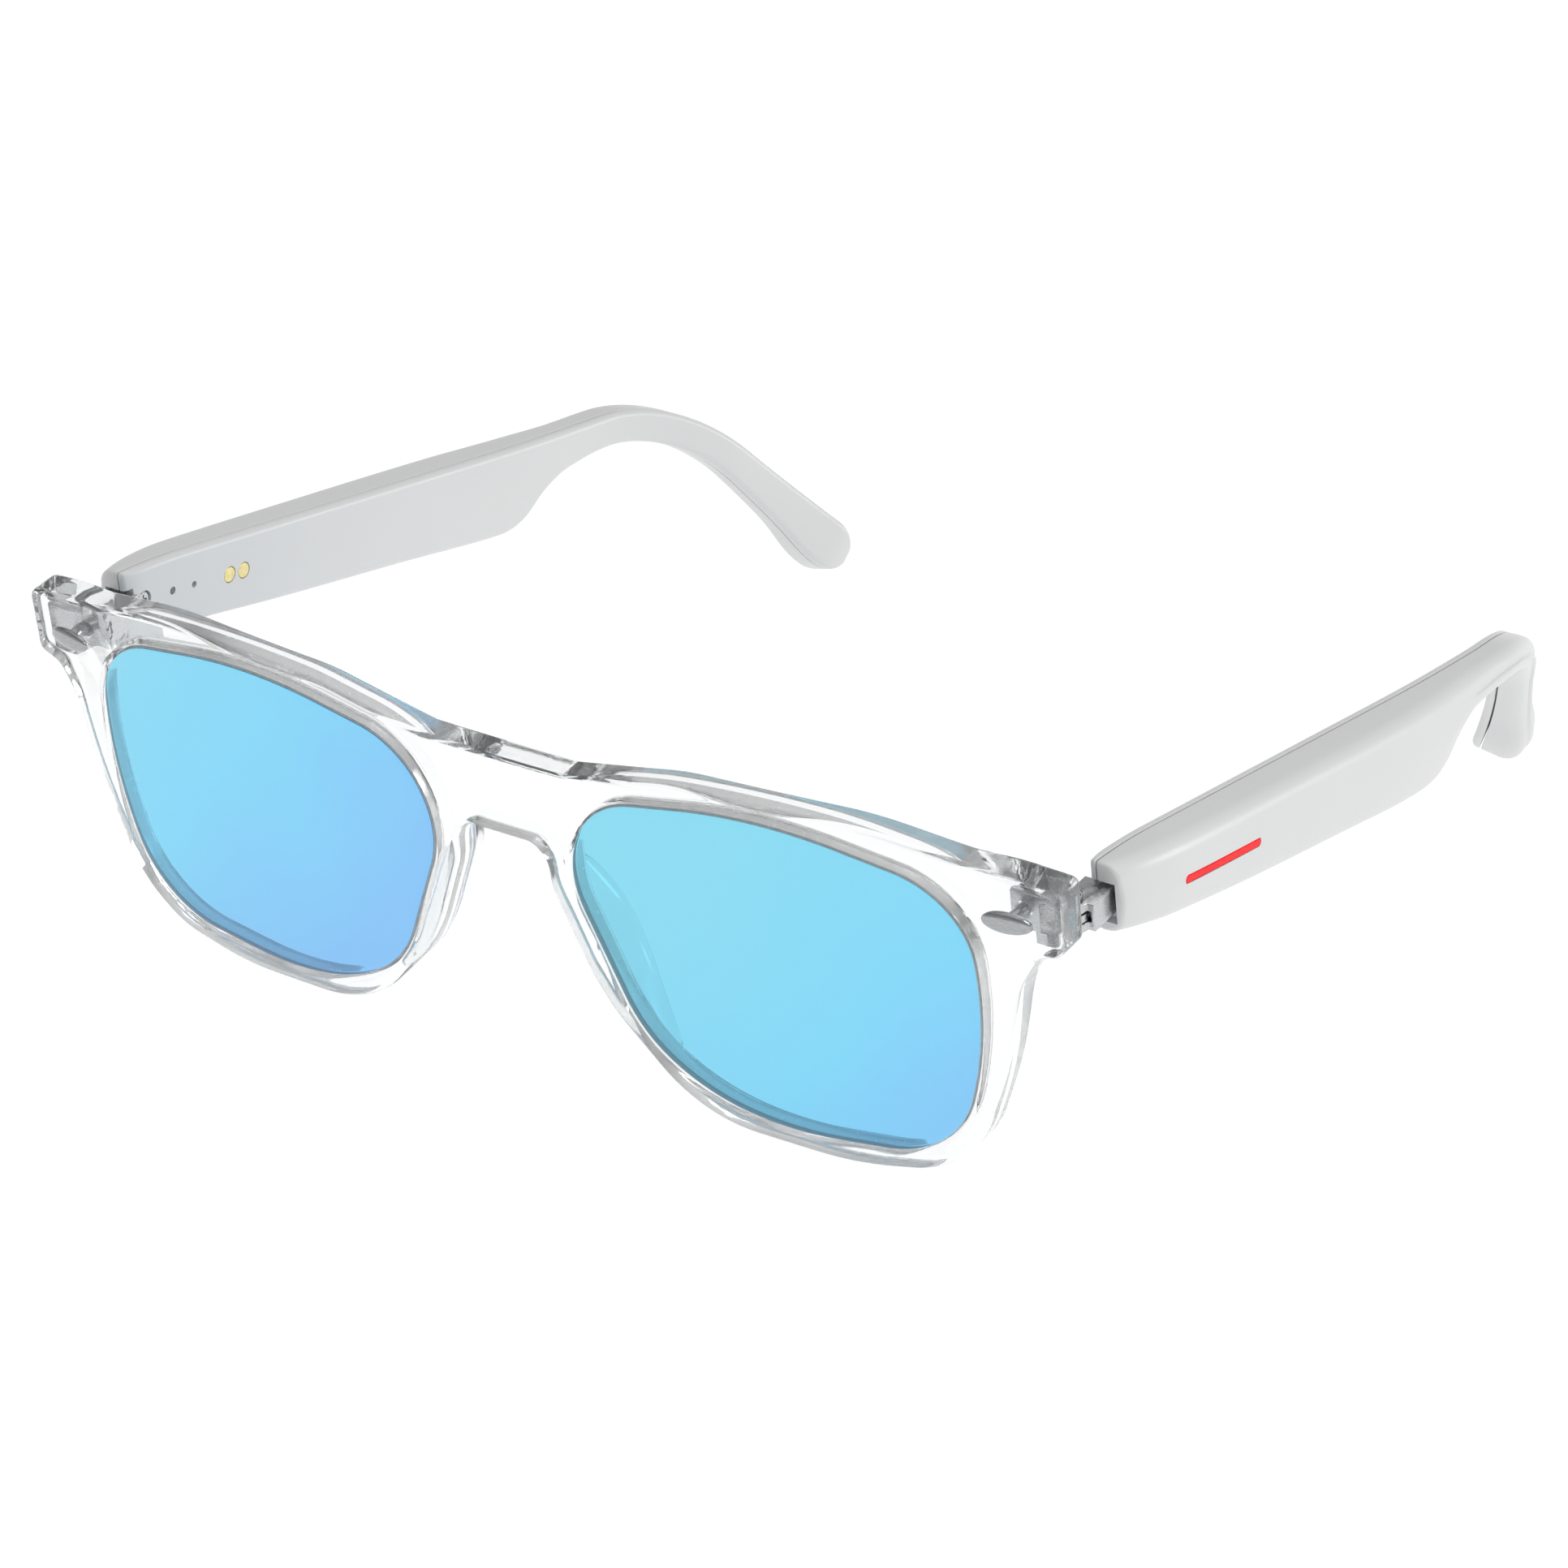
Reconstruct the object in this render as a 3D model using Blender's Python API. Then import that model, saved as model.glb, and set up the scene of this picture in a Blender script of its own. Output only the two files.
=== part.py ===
"""Smart glasses: a clear front with tinted lenses, and two folding temples that hold the electronics.

Every size is in millimetres, in the frame of the front: X towards the wearer's left, Y back and
Z up along the front, with zero on the bridge at the height of the lens centres. The stance empty
leans that frame forward, so that the glasses stand on their rims and on both temple tips.
"""
import math

import bmesh
import bpy
from mathutils import Matrix, Vector

MM = 0.001
GAP = 0.3                      # clearance between two pieces that touch on the real object

# Stance
STANCE_TILT = math.radians(8.767)
STANCE_LIFT = 22.374           # from the surface it stands on to the frame's zero
STANCE_BACK = -70.154           # puts the middle of the outer box over the origin

# Front: half outline as corners (x, z, corner radius), from the top of the bridge round to its underside
BRIDGE_TOP = 18.5
BRIDGE_UNDER = 10.9
FRONT_CORNERS = (
    (10.0, 20.3, 40.0), (24.7, 23.0, 30.0), (48.4, 23.4, 46.0), (71.9, 19.8, 1.2), (71.8, 11.6, 1.4),
    (68.6, 10.7, 2.4), (66.4, 6.7, 8.0), (64.4, -4.2, 62.0), (60.2, -16.3, 15.0), (54.0, -21.2, 11.0),
    (43.8, -23.1, 41.0), (23.8, -22.2, 18.0), (13.4, -10.9, 17.0), (10.5, -6.2, 40.0), (6.4, 4.3, 8.0),
    (6.2, 8.9, 4.0),
)
LENS_CORNERS = (
    (60.5, 16.9, 12.0), (35.2, 21.6, 65.0), (13.5, 17.8, 11.0), (8.6, 7.5, 24.5), (16.9, -13.0, 30.0),
    (25.5, -18.9, 24.0), (35.9, -20.8, 39.0), (57.2, -18.9, 13.3), (62.0, -0.7, 68.0),
)
FRONT_THICK = 4.0
FRONT_BEND = 0.00103           # depth gained per square millimetre away from the bridge
END_SWELL = 0.8                # extra thickness of the end pieces
END_SWELL_X = (59.5, 66.5)
END_SWELL_Z = (3.0, 11.0)
EDGE_ROUND = 0.6
OUTLINE_STEP = math.radians(15)  # turn between neighbouring points of a rounded corner

# Lenses
LENS_FACE = 0.15                # from the front's face to the lens's face
LENS_THICK = 1.6
LENS_TONGUE = 0.4              # how far the lens's bevel reaches into its groove
TONGUE_AT = 1.1                # depth of the middle of the bevel
TONGUE_THICK = 0.8
TONGUE_SLOPE = 0.25
LENS_RINGS = (0.4, 0.8)

# Nose pads: (z, distance behind the front, lateral spread of the rear edge, thickness)
PAD_STATIONS = (
    (7.4, 1.0, 0.2, 1.8), (5.6, 2.6, 0.5, 2.5), (2.4, 4.2, 0.9, 2.9), (-2.0, 4.8, 1.2, 3.1),
    (-6.5, 4.5, 1.1, 3.0), (-10.5, 3.2, 0.8, 2.7), (-13.8, 1.7, 0.5, 2.2), (-16.0, 0.6, 0.2, 1.6),
)
PAD_INSET = 0.5

# Rivets
RIVET_AT = (65.6, 15.1)
RIVET_HEAD = (3.0, 1.35, 0.75)  # half width, half height, rise
RIVET_SINK = 0.35
RIVET_SHANK = 0.8

# Hinges: pivot line parallel to Z
PIVOT_X = 68.2
PIVOT_Y = 13.7
BARREL = 1.6
PIN_RADIUS = 0.55
PIN_HEAD = (1.0, 0.8)          # radius, height
PIN_SLOT = (0.15, 0.35)        # half width, depth
HINGE_GAP = 0.25
HINGE_Z = (9.8, 13.3)          # the temple's fork
FORK_SLOT_Z = (10.85, 12.25)
KNUCKLE_Z = (11.1, 12.0)      # the front's knuckle, inside the fork
PLATE_X = (64.0, 70.4)
PLATE_Y = (9.5, 10.4)
PLATE_TOP = 17.2
PLATE_STEP = (66.9, 12.7)      # the plate is narrower below: inner side there, and its height
FORK_INNER = 66.8              # inner side of the fork's block
LEAF_X = (69.1, 70.7)
LEAF_END = 22.0
END_RECESS = ((66.0, 71.1), 1.1, (8.6, 13.8))  # sides, depth and height of the recess round the leaf

# Temples: the top line of the inner face as (length, turn in degrees), and sizes against the
# distance along it
TOP_START = (17.4, 16.3)
TOP_SLOPE = math.radians(-9.5)
TOP_RUNS = ((12.0, -6.5), (56.0, 0.0), (26.0, 2.5), (25.0, -43.5), (20.0, 0.0))
TEMPLE_DEPTH = (
    (0, 9.0), (13, 9.5), (30, 10.2), (53, 10.8), (70, 11.4), (74.5, 11.2), (77.5, 10.0), (80.5, 7.6),
    (84.5, 5.7), (88, 5.0), (92, 4.5), (104, 4.3), (114, 4.5), (122, 5.0), (128, 5.7), (134, 6.8),
    (139, 6.8),
)
TEMPLE_WIDTH = (
    (0, 4.7), (3, 5.6), (8, 6.4), (13, 6.8), (30, 7.1), (62, 7.3), (76, 6.7), (88, 5.9), (104, 5.4),
    (120, 5.2), (128, 5.7), (134, 6.8), (139, 6.6),
)
TEMPLE_LENGTH = 139.0
TEMPLE_STATIONS = (
    0.0, 0.7, 3, 8, 13, 30, 53, 64, 70, 74.5, 77.5, 80.5, 84.5, 88, 92, 97, 101, 105, 109, 113, 117,
    121, 127, 131, 134, 136.5, 138.2, 139.0,
)
INNER_FACE_X = 67.5
INNER_TAPER = 0.04             # how fast the two temples close in on each other towards the rear
HOOK_BEND_FROM = 106.4
HOOK_BEND = 0.0137
UPRIGHT_END = 10.0             # length over which the cross-sections turn upright
NOSE_TAPER = (0.6, 3.0)        # the cover thins by this much towards the front end
COVER_THICK = 1.25
INNER_ROUND = 0.9
OUTER_ROUND = 2.3
OUTER_CROWN = 0.35
WALL = 1.2
CAVITY = (14, 21, 33, 52, 62, 71)

# Details on the temples: distance along the top line, depth below it, radius
COVER_SCREW = (2.7, 4.3, 1.1)
COVER_SCREW_SHANK = 0.45
COVER_SCREW_HEAD = 0.7         # how deep the head reaches
COVER_SCREW_END = 3.3
LED_AT = (8.4, 4.5, 0.45)
MIC_AT = (12.6, 4.6, 0.42)
CONTACTS = (("front", 19.1), ("rear", 21.7))
CONTACT_DEPTH = 4.8
CONTACT_RADIUS = 1.0
CONTACT_PIN = (0.6, 2.3)       # radius of the pin behind the contact, and where it ends
STRIP = (11.4, 28.2, 4.8, 0.5)  # start, end, depth, half height
STRIP_DEEP = 0.45
GRILLE = (65.3, 71.3, 2.4, 4.1)  # start, end, inner side, outer side of the sound outlet

# Inside the temple: start, end, then inner and outer side, then upper and lower side
BOARD = ((15.1, 38.0), (2.6, 3.2), (1.9, 7.6))
BOARD_MODULE = ((18.5, 28.5), (3.0, 3.9), (2.4, 7.0))
BOARD_POWER_CHIP = ((31.5, 36.0), (3.0, 3.9), (2.8, 6.4))
BATTERY = ((39.5, 60.0), (1.9, 4.6), (1.8, 8.4))
SPEAKER = ((61.2, 69.8), (1.9, 4.5), (2.2, 9.0))
MICROPHONE = ((10.4, 13.2), (1.6, 2.5), (3.2, 6.0))
MIC_POCKET = ((10.0, 15.5), (1.0, 2.9), (2.8, 6.4))
MAGNET = (25.6, 5.2, 1.7)        # distance, depth, radius
MAGNET_END = 2.3
SENSOR = ((14.6, 28.6), (4.25, 4.55), (3.6, 6.6))

SIDES = (("left", 1), ("right", -1))


# ---------------------------------------------------------------- helpers

def clear_scene():
    for thing in list(bpy.data.objects):
        bpy.data.objects.remove(thing, do_unlink=True)


def material(name, colour, roughness, metallic=0.0, transmission=0.0):
    made = bpy.data.materials.new(name)
    made.use_nodes = True
    shader = made.node_tree.nodes["Principled BSDF"]
    shader.inputs["Base Color"].default_value = (*colour, 1.0)
    shader.inputs["Roughness"].default_value = roughness
    shader.inputs["Metallic"].default_value = metallic
    shader.inputs["Transmission Weight"].default_value = transmission
    made.diffuse_color = (*colour, 1.0)
    return made


def empty(name, parent=None, location=(0, 0, 0)):
    made = bpy.data.objects.new(name, None)
    made.location = Vector(location) * MM
    made.parent = parent
    bpy.context.collection.objects.link(made)
    return made


class Group:
    """Where a sub-assembly's pieces go: a parent empty, the parent's place and the side."""

    def __init__(self, parent, origin=(0, 0, 0), side=1, prefix=""):
        self.parent = parent
        self.origin = Vector(origin)
        self.side = side
        self.prefix = prefix

    def add(self, name, shape, finish, smooth=False):
        """Make a mesh object from a bmesh in millimetres, mirrored for the right side."""
        place = Matrix.Diagonal((self.side, 1, 1, 1))
        bmesh.ops.transform(shape, matrix=place, verts=shape.verts)
        bmesh.ops.translate(shape, vec=-self.origin, verts=shape.verts)
        bmesh.ops.scale(shape, vec=(MM, MM, MM), verts=shape.verts)
        bmesh.ops.triangulate(shape, faces=shape.faces)
        bmesh.ops.recalc_face_normals(shape, faces=shape.faces)
        mesh = bpy.data.meshes.new(self.prefix + name)
        shape.to_mesh(mesh)
        shape.free()
        if smooth:
            mesh.shade_smooth()
            mesh.set_sharp_from_angle(angle=math.radians(35))
        mesh.materials.append(finish)
        made = bpy.data.objects.new(self.prefix + name, mesh)
        made.parent = self.parent
        bpy.context.collection.objects.link(made)
        return made

    def cutter(self, name, shape):
        made = self.add(name, shape, CUTTER_FINISH)
        made.hide_render = True
        made.display_type = "WIRE"
        return made

    def cut(self, target, name, shape):
        boolean(target, self.cutter(name, shape), "DIFFERENCE")

    def join(self, target, name, shape):
        boolean(target, self.cutter(name, shape), "UNION")


def boolean(target, other, operation):
    step = target.modifiers.new(other.name, "BOOLEAN")
    step.operation = operation
    step.solver = "EXACT"
    step.object = other


def round_edges(target, width, segments=1, angle=40):
    step = target.modifiers.new("round_edges", "BEVEL")
    step.width = width * MM
    step.segments = segments
    step.limit_method = "ANGLE"
    step.angle_limit = math.radians(angle)


def smoothstep(value, low, high):
    share = min(1.0, max(0.0, (value - low) / (high - low)))
    return share * share * (3.0 - 2.0 * share)


def along(table, distance):
    """Read a table of (distance, size) rows at a distance between two of them."""
    for (start, first), (end, last) in zip(table, table[1:]):
        if distance <= end:
            return first + (last - first) * (distance - start) / (end - start)
    return table[-1][1]


def arc_corner(before, corner, after, radius, turn_step):
    """Points of the arc that rounds one corner of an outline."""
    here = Vector(corner)
    back = (Vector(before) - here).normalized()
    ahead = (Vector(after) - here).normalized()
    half = math.acos(max(-1.0, min(1.0, back.dot(ahead)))) / 2
    reach = radius / math.tan(half)
    limit = 0.49 * min((Vector(before) - here).length, (Vector(after) - here).length)
    if reach > limit:
        reach = limit
        radius = reach * math.tan(half)
    centre = here + (back + ahead).normalized() * (radius / math.sin(half))
    start = here + back * reach - centre
    sweep = math.pi - 2 * half
    if start.x * ahead.y - start.y * ahead.x < 0:
        sweep = -sweep
    count = max(1, round(abs(sweep) / turn_step))
    turned = []
    for index in range(count + 1):
        angle = sweep * index / count
        across = Vector((-start.y, start.x))
        turned.append(tuple(centre + start * math.cos(angle) + across * math.sin(angle)))
    return turned


def rounded(corners):
    """A closed outline from corners (x, z, radius)."""
    outline = []
    for index, (x, z, radius) in enumerate(corners):
        before = corners[index - 1][:2]
        after = corners[(index + 1) % len(corners)][:2]
        outline += arc_corner(before, (x, z), after, radius, OUTLINE_STEP)
    return outline


def grow(outline, distance):
    """Move each point of an anticlockwise outline out by a distance along its normal."""
    moved = []
    for index, point in enumerate(outline):
        before = Vector(outline[index - 1])
        after = Vector(outline[(index + 1) % len(outline)])
        run = (after - before).normalized()
        moved.append((point[0] + run.y * distance, point[1] - run.x * distance))
    return moved


def loft(rings):
    """A closed skin over rings of equal length, with flat ends."""
    shape = bmesh.new()
    layers = [[shape.verts.new(point) for point in ring] for ring in rings]
    count = len(rings[0])
    for low, high in zip(layers, layers[1:]):
        for index in range(count):
            after = (index + 1) % count
            shape.faces.new((low[index], low[after], high[after], high[index]))
    shape.faces.new(layers[0])
    shape.faces.new(layers[-1])
    return shape


def box(low, high):
    corners = ((low[0], low[2]), (high[0], low[2]), (high[0], high[2]), (low[0], high[2]))
    return loft([[(x, y, z) for x, z in corners] for y in (low[1], high[1])])


def circle(radius, count, wide=1.0):
    turn = 2 * math.pi / count
    return [(wide * radius * math.cos(turn * i), radius * math.sin(turn * i)) for i in range(count)]


def upright_cylinder(x, y, radius, low, high, count=12):
    return loft([[(x + a, y + b, z) for a, b in circle(radius, count)] for z in (low, high)])


# ---------------------------------------------------------------- front

def front_depth(x):
    """How far the curved front lies behind its middle."""
    return FRONT_BEND * x * x


def bend_front(shape):
    for vert in shape.verts:
        vert.co.y += front_depth(vert.co.x)


def front_outline():
    half = []
    ends = (0.0, BRIDGE_TOP, 0.0), (0.0, BRIDGE_UNDER, 0.0)
    corners = (ends[0], *FRONT_CORNERS, ends[1])
    for index in range(1, len(corners) - 1):
        x, z, radius = corners[index]
        half += arc_corner(corners[index - 1][:2], (x, z), corners[index + 1][:2], radius, OUTLINE_STEP)
    return half + [(-x, z) for x, z in reversed(half)]


def lens_outline():
    return rounded(LENS_CORNERS)


def plate_with_holes(outlines, low, high):
    """A flat plate between two depths, outlined by the first loop and pierced by the others."""
    shape = bmesh.new()
    edges = []
    for outline in outlines:
        verts = [shape.verts.new((x, low, z)) for x, z in outline]
        edges += [shape.edges.new((verts[i - 1], verts[i])) for i in range(len(verts))]
    bmesh.ops.triangle_fill(shape, use_beauty=True, use_dissolve=False, edges=edges)
    raised = bmesh.ops.extrude_face_region(shape, geom=list(shape.faces))
    top = [item for item in raised["geom"] if isinstance(item, bmesh.types.BMVert)]
    bmesh.ops.translate(shape, vec=(0, high - low, 0), verts=top)
    return shape


def front_frame(group):
    lens = lens_outline()
    holes = [[(side * x, z) for x, z in lens] for _, side in SIDES]
    shape = plate_with_holes([front_outline(), *holes], 0.0, FRONT_THICK)
    for vert in shape.verts:
        if vert.co.y > FRONT_THICK / 2:
            swell = smoothstep(abs(vert.co.x), *END_SWELL_X) * smoothstep(vert.co.z, *END_SWELL_Z)
            vert.co.y += END_SWELL * swell
    bend_front(shape)
    frame = group.add("front_frame", shape, CLEAR)
    round_edges(frame, EDGE_ROUND)
    for name, side in SIDES:
        half = Group(group.parent, side=side, prefix=name)
        reach = TONGUE_THICK / 2 + GAP
        groove = disc(grow(lens, LENS_TONGUE + GAP), TONGUE_AT - reach, TONGUE_AT + reach)
        half.cut(frame, "_lens_groove", groove)
        low = (PLATE_X[0] - GAP, PLATE_Y[0] - GAP, KNUCKLE_Z[0] - 3.0)
        high = (PLATE_X[1] + GAP, PLATE_Y[1] + 4.0, PLATE_TOP + GAP)
        half.cut(frame, "_plate_pocket", box(low, high))
        half.cut(frame, "_rivet_hole", rivet_shape(GAP))
    return frame


def ring_at(outline, y, share=1.0):
    """An outline set at a depth, shrunk towards its middle."""
    middle_x = sum(x for x, _ in outline) / len(outline)
    middle_z = sum(z for _, z in outline) / len(outline)
    return [(middle_x + (x - middle_x) * share, y, middle_z + (z - middle_z) * share) for x, z in outline]


def disc(outline, low, high):
    """A thin plate with rings towards its middle, so that it can follow the bend of the front."""
    shares = (*LENS_RINGS, 1.0)
    rings = [ring_at(outline, low, share) for share in shares]
    rings += [ring_at(outline, high, share) for share in reversed(shares)]
    shape = loft(rings)
    bend_front(shape)
    return shape


def lens(group):
    opening = lens_outline()
    body = grow(opening, -GAP)
    bevel = grow(opening, LENS_TONGUE)
    root = TONGUE_THICK / 2 + TONGUE_SLOPE / 2
    crest = TONGUE_THICK / 2 - TONGUE_SLOPE / 2
    rings = [ring_at(body, LENS_FACE, share) for share in (*LENS_RINGS, 1.0)]
    rings += [
        ring_at(body, TONGUE_AT - root), ring_at(bevel, TONGUE_AT - crest),
        ring_at(bevel, TONGUE_AT + crest), ring_at(body, TONGUE_AT + root),
    ]
    rings += [ring_at(body, LENS_FACE + LENS_THICK, share) for share in (1.0, *reversed(LENS_RINGS))]
    shape = loft(rings)
    bend_front(shape)
    return group.add("_lens", shape, TINT, smooth=True)


def nose_edge(z):
    """The rim's nose side at a height: the one stretch of the half outline that runs upwards there."""
    outline = front_outline()
    half = outline[:len(outline) // 2]
    for (low_x, low_z), (high_x, high_z) in zip(half, half[1:]):
        if low_z <= z < high_z:
            return low_x + (high_x - low_x) * (z - low_z) / (high_z - low_z)
    raise ValueError("no nose side at this height")


def nose_pad(group):
    """A wedge on the back of the rim that spreads out to the rear."""
    rings = []
    for z, reach, spread, thick in PAD_STATIONS:
        edge = nose_edge(z) + PAD_INSET
        root = FRONT_THICK + GAP
        tip = root + reach
        rings.append([
            (edge, root, z), (edge + spread * 0.45, root + reach * 0.5, z),
            (edge + spread * 0.8, tip - 0.5, z), (edge + spread + 0.3, tip, z),
            (edge + spread + thick * 0.55, tip - 0.1, z),
            (edge + spread * 0.9 + thick * 0.75, root + reach * 0.6, z), (edge + thick, root, z),
        ])
    shape = loft(rings)
    bend_front(shape)
    return group.add("_nose_pad", shape, PAD, smooth=True)


def rivet_shape(clearance=0.0):
    """Oval domed head with a shank that reaches the hinge plate."""
    x, z = RIVET_AT
    half_width, half_height, rise = RIVET_HEAD
    face = front_depth(x)
    slope = 2 * FRONT_BEND * x

    def ring(wide, high, y):
        oval = circle(1.0, 16)
        return [(x + a * wide, y + a * wide * slope, z + b * high) for a, b in oval]

    wide = half_width + clearance
    high = half_height + clearance
    shank = RIVET_SHANK + clearance
    sink = face + RIVET_SINK + clearance
    end = PLATE_Y[1] if clearance == 0 else PLATE_Y[1] + 1.0
    return loft([
        ring(wide * 0.45, high * 0.45, face - rise), ring(wide * 0.85, high * 0.85, face - rise * 0.6),
        ring(wide, high, face), ring(wide, high, sink), ring(shank, shank, sink), ring(shank, shank, end),
    ])


# ---------------------------------------------------------------- hinges

def pin_bore(low_z, high_z):
    return upright_cylinder(PIVOT_X, PIVOT_Y, PIN_RADIUS + GAP, low_z - 1, high_z + 1)


def barrel_slice(radius, low_z, high_z):
    outline = [(PIVOT_X + a, PIVOT_Y + b) for a, b in circle(radius, 14)]
    return loft([[(x, y, z) for x, y in outline] for z in (low_z, high_z)])


def front_hinge(group):
    """A plate behind the end piece, with one knuckle on the pivot line."""
    low_z, high_z = KNUCKLE_Z
    lug_x, step_z = PLATE_STEP
    plate = box((PLATE_X[0], PLATE_Y[0], step_z), (PLATE_X[1], PLATE_Y[1], PLATE_TOP))
    made = group.add("_front_hinge", plate, STEEL)
    lug = box((lug_x, PLATE_Y[0] + 0.1, low_z), (PLATE_X[1] - 0.1, PLATE_Y[1] - 0.1, PLATE_TOP - 0.1))
    group.join(made, "_front_lug", lug)
    group.join(made, "_front_knuckle", barrel_slice(BARREL, low_z, high_z))
    web = box((PIVOT_X - 1.2, PLATE_Y[0] + 0.2, low_z), (PIVOT_X + 1.2, PIVOT_Y, high_z))
    group.join(made, "_front_web", web)
    group.cut(made, "_front_bore", pin_bore(low_z, high_z))
    x, z = RIVET_AT
    hole = [(x + a, z + b) for a, b in circle(RIVET_SHANK + GAP, 16)]
    through = loft([[(a, y, b) for a, b in hole] for y in (PLATE_Y[0] - 1, PLATE_Y[1] + 1)])
    group.cut(made, "_rivet_through", through)
    return made


def temple_hinge(group):
    """A fork with two knuckles on a leaf that runs into the temple."""
    low_z, high_z = HINGE_Z
    leaf = box((LEAF_X[0], PIVOT_Y, low_z), (LEAF_X[1], LEAF_END, high_z))
    made = group.add("_temple_hinge", leaf, STEEL)
    group.join(made, "_fork_barrel", barrel_slice(BARREL, low_z, high_z))
    web_end = TOP_START[0] + END_RECESS[1] - GAP
    web = box((FORK_INNER, PIVOT_Y + 0.2, low_z), (LEAF_X[1], web_end, high_z))
    group.join(made, "_fork_web", web)
    low_slot, high_slot = FORK_SLOT_Z
    group.cut(made, "_fork_slot", barrel_slice(BARREL + GAP + 0.15, low_slot, high_slot))
    open_side = box((PIVOT_X - 4, PIVOT_Y - 5, low_slot), (PIVOT_X + 4, PIVOT_Y, high_slot))
    group.cut(made, "_fork_open_side", open_side)
    group.cut(made, "_fork_bore", pin_bore(low_z, high_z))
    group.cut(made, "_leaf_thread", across_hole(*COVER_SCREW[:2], COVER_SCREW_SHANK + HINGE_GAP, -2.0, 8.0))
    return made


def hinge_pin(group):
    """Pivot screw: shank and slotted head above the fork."""
    low_z, high_z = HINGE_Z
    head, rise = PIN_HEAD
    seat = high_z + GAP
    rows = (
        (PIN_RADIUS, low_z), (PIN_RADIUS, seat), (head, seat), (head, seat + rise * 0.75),
        (head * 0.8, seat + rise),
    )
    rings = [[(PIVOT_X + a, PIVOT_Y + b, z) for a, b in circle(radius, 16)] for radius, z in rows]
    made = group.add("_hinge_pin", loft(rings), STEEL, smooth=True)
    half, deep = PIN_SLOT
    top = seat + rise
    slot = box((PIVOT_X - 2, PIVOT_Y - half, top - deep), (PIVOT_X + 2, PIVOT_Y + half, top + 1))
    group.cut(made, "_pin_slot", slot)
    return made


def leaf_pocket():
    low = (LEAF_X[0] - 1.0, TOP_START[0] - 4, HINGE_Z[0] - GAP)
    high = (LEAF_X[1] + GAP, LEAF_END + GAP, HINGE_Z[1] + GAP)
    return box(low, high)


def end_recess():
    """A shallow recess in the temple's end face, round the leaf and open to the inner side."""
    (inner, outer), deep, (low_z, high_z) = END_RECESS
    return box((inner, TOP_START[0] - 4, low_z), (outer, TOP_START[0] + deep, high_z))


# ---------------------------------------------------------------- temples

def top_line(distance):
    """Place and slope of the inner face's top edge at a distance from the temple's front end."""
    y, z = TOP_START
    slope = TOP_SLOPE
    left = distance
    for length, turn in TOP_RUNS:
        run = min(left, length)
        sweep = math.radians(turn) * run / length
        middle = slope + sweep / 2
        chord = run if abs(sweep) < 1e-6 else run * math.sin(sweep / 2) / (sweep / 2)
        y += chord * math.cos(middle)
        z += chord * math.sin(middle)
        slope += sweep
        left -= run
        if left <= 0:
            break
    return y, z, slope


def inner_face(y):
    """Sideways place of the inner face: straight, then bent in behind the ear."""
    hook = max(0.0, y - HOOK_BEND_FROM)
    return INNER_FACE_X - INNER_TAPER * (y - TOP_START[0]) - HOOK_BEND * hook * hook


def cover_face(distance):
    """How far the cover's face lies outward of the inner face, towards the thin front end."""
    nose, length = NOSE_TAPER
    taper = max(0.0, 1 - distance / length)
    return nose * taper * taper


def temple_frame(distance):
    """Top edge point, outward direction and downward direction at a distance along the temple.

    Cross-sections stand square to the top line, and turn upright towards the front end, which is
    parallel to the front."""
    y, z, slope = top_line(distance)
    point = Vector((inner_face(y), y, z))
    if distance < UPRIGHT_END:
        slope *= distance / UPRIGHT_END
        forward = Vector((0, math.cos(slope), math.sin(slope)))
    else:
        ahead_y = y + math.cos(slope)
        forward = Vector((inner_face(ahead_y), ahead_y, z + math.sin(slope))) - point
    forward.normalize()
    outward = (Vector((1, 0, 0)) - forward * forward.x).normalized()
    return point, outward, forward.cross(outward)


def on_temple(distance, outward, down):
    point, side, below = temple_frame(distance)
    return point + side * outward + below * down


def tip_scale(distance):
    """Rounds the temple's rear end off."""
    left = TEMPLE_LENGTH - distance
    reach = 3.0
    if left >= reach:
        return 1.0
    share = 1 - left / reach
    return math.sqrt(max(0.0, 1 - 0.72 * share * share))


def front_scale(distance):
    return 1.0 if distance > 0.5 else 0.9


def temple_size(distance):
    """Width and depth of the temple, and the margin that its rounded ends take off all round."""
    width = along(TEMPLE_WIDTH, distance)
    depth = along(TEMPLE_DEPTH, distance)
    share = tip_scale(distance) * front_scale(distance)
    return width, depth, share


def shell_ring(distance):
    width, depth, share = temple_size(distance)
    split = COVER_THICK + GAP
    corner = min(OUTER_ROUND, 0.8 * (width - split), 0.42 * depth)
    flat = width - OUTER_CROWN
    profile = [(split, 0.0)]
    for index in range(4):
        angle = math.pi / 2 * index / 3
        profile.append((flat - corner + corner * math.sin(angle), corner - corner * math.cos(angle)))
    profile.append((width, depth / 2))
    for index in range(4):
        angle = math.pi / 2 * index / 3
        profile.append((flat - corner + corner * math.cos(angle), depth - corner + corner * math.sin(angle)))
    profile.append((split, depth))
    return place_ring(distance, profile, split, depth, share)


def cover_ring(distance):
    _, depth, share = temple_size(distance)
    face = cover_face(distance)
    corner = min(INNER_ROUND, 0.75 * (COVER_THICK - face))
    inner = face + corner
    profile = [(COVER_THICK, 0.0)]
    for index in range(3):
        angle = math.pi / 2 * index / 2
        profile.append((inner - corner * math.sin(angle), corner - corner * math.cos(angle)))
    for index in range(3):
        angle = math.pi / 2 * index / 2
        profile.append((inner - corner * math.cos(angle), depth - corner + corner * math.sin(angle)))
    profile.append((COVER_THICK, depth))
    return place_ring(distance, profile, COVER_THICK, depth, share)


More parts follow.
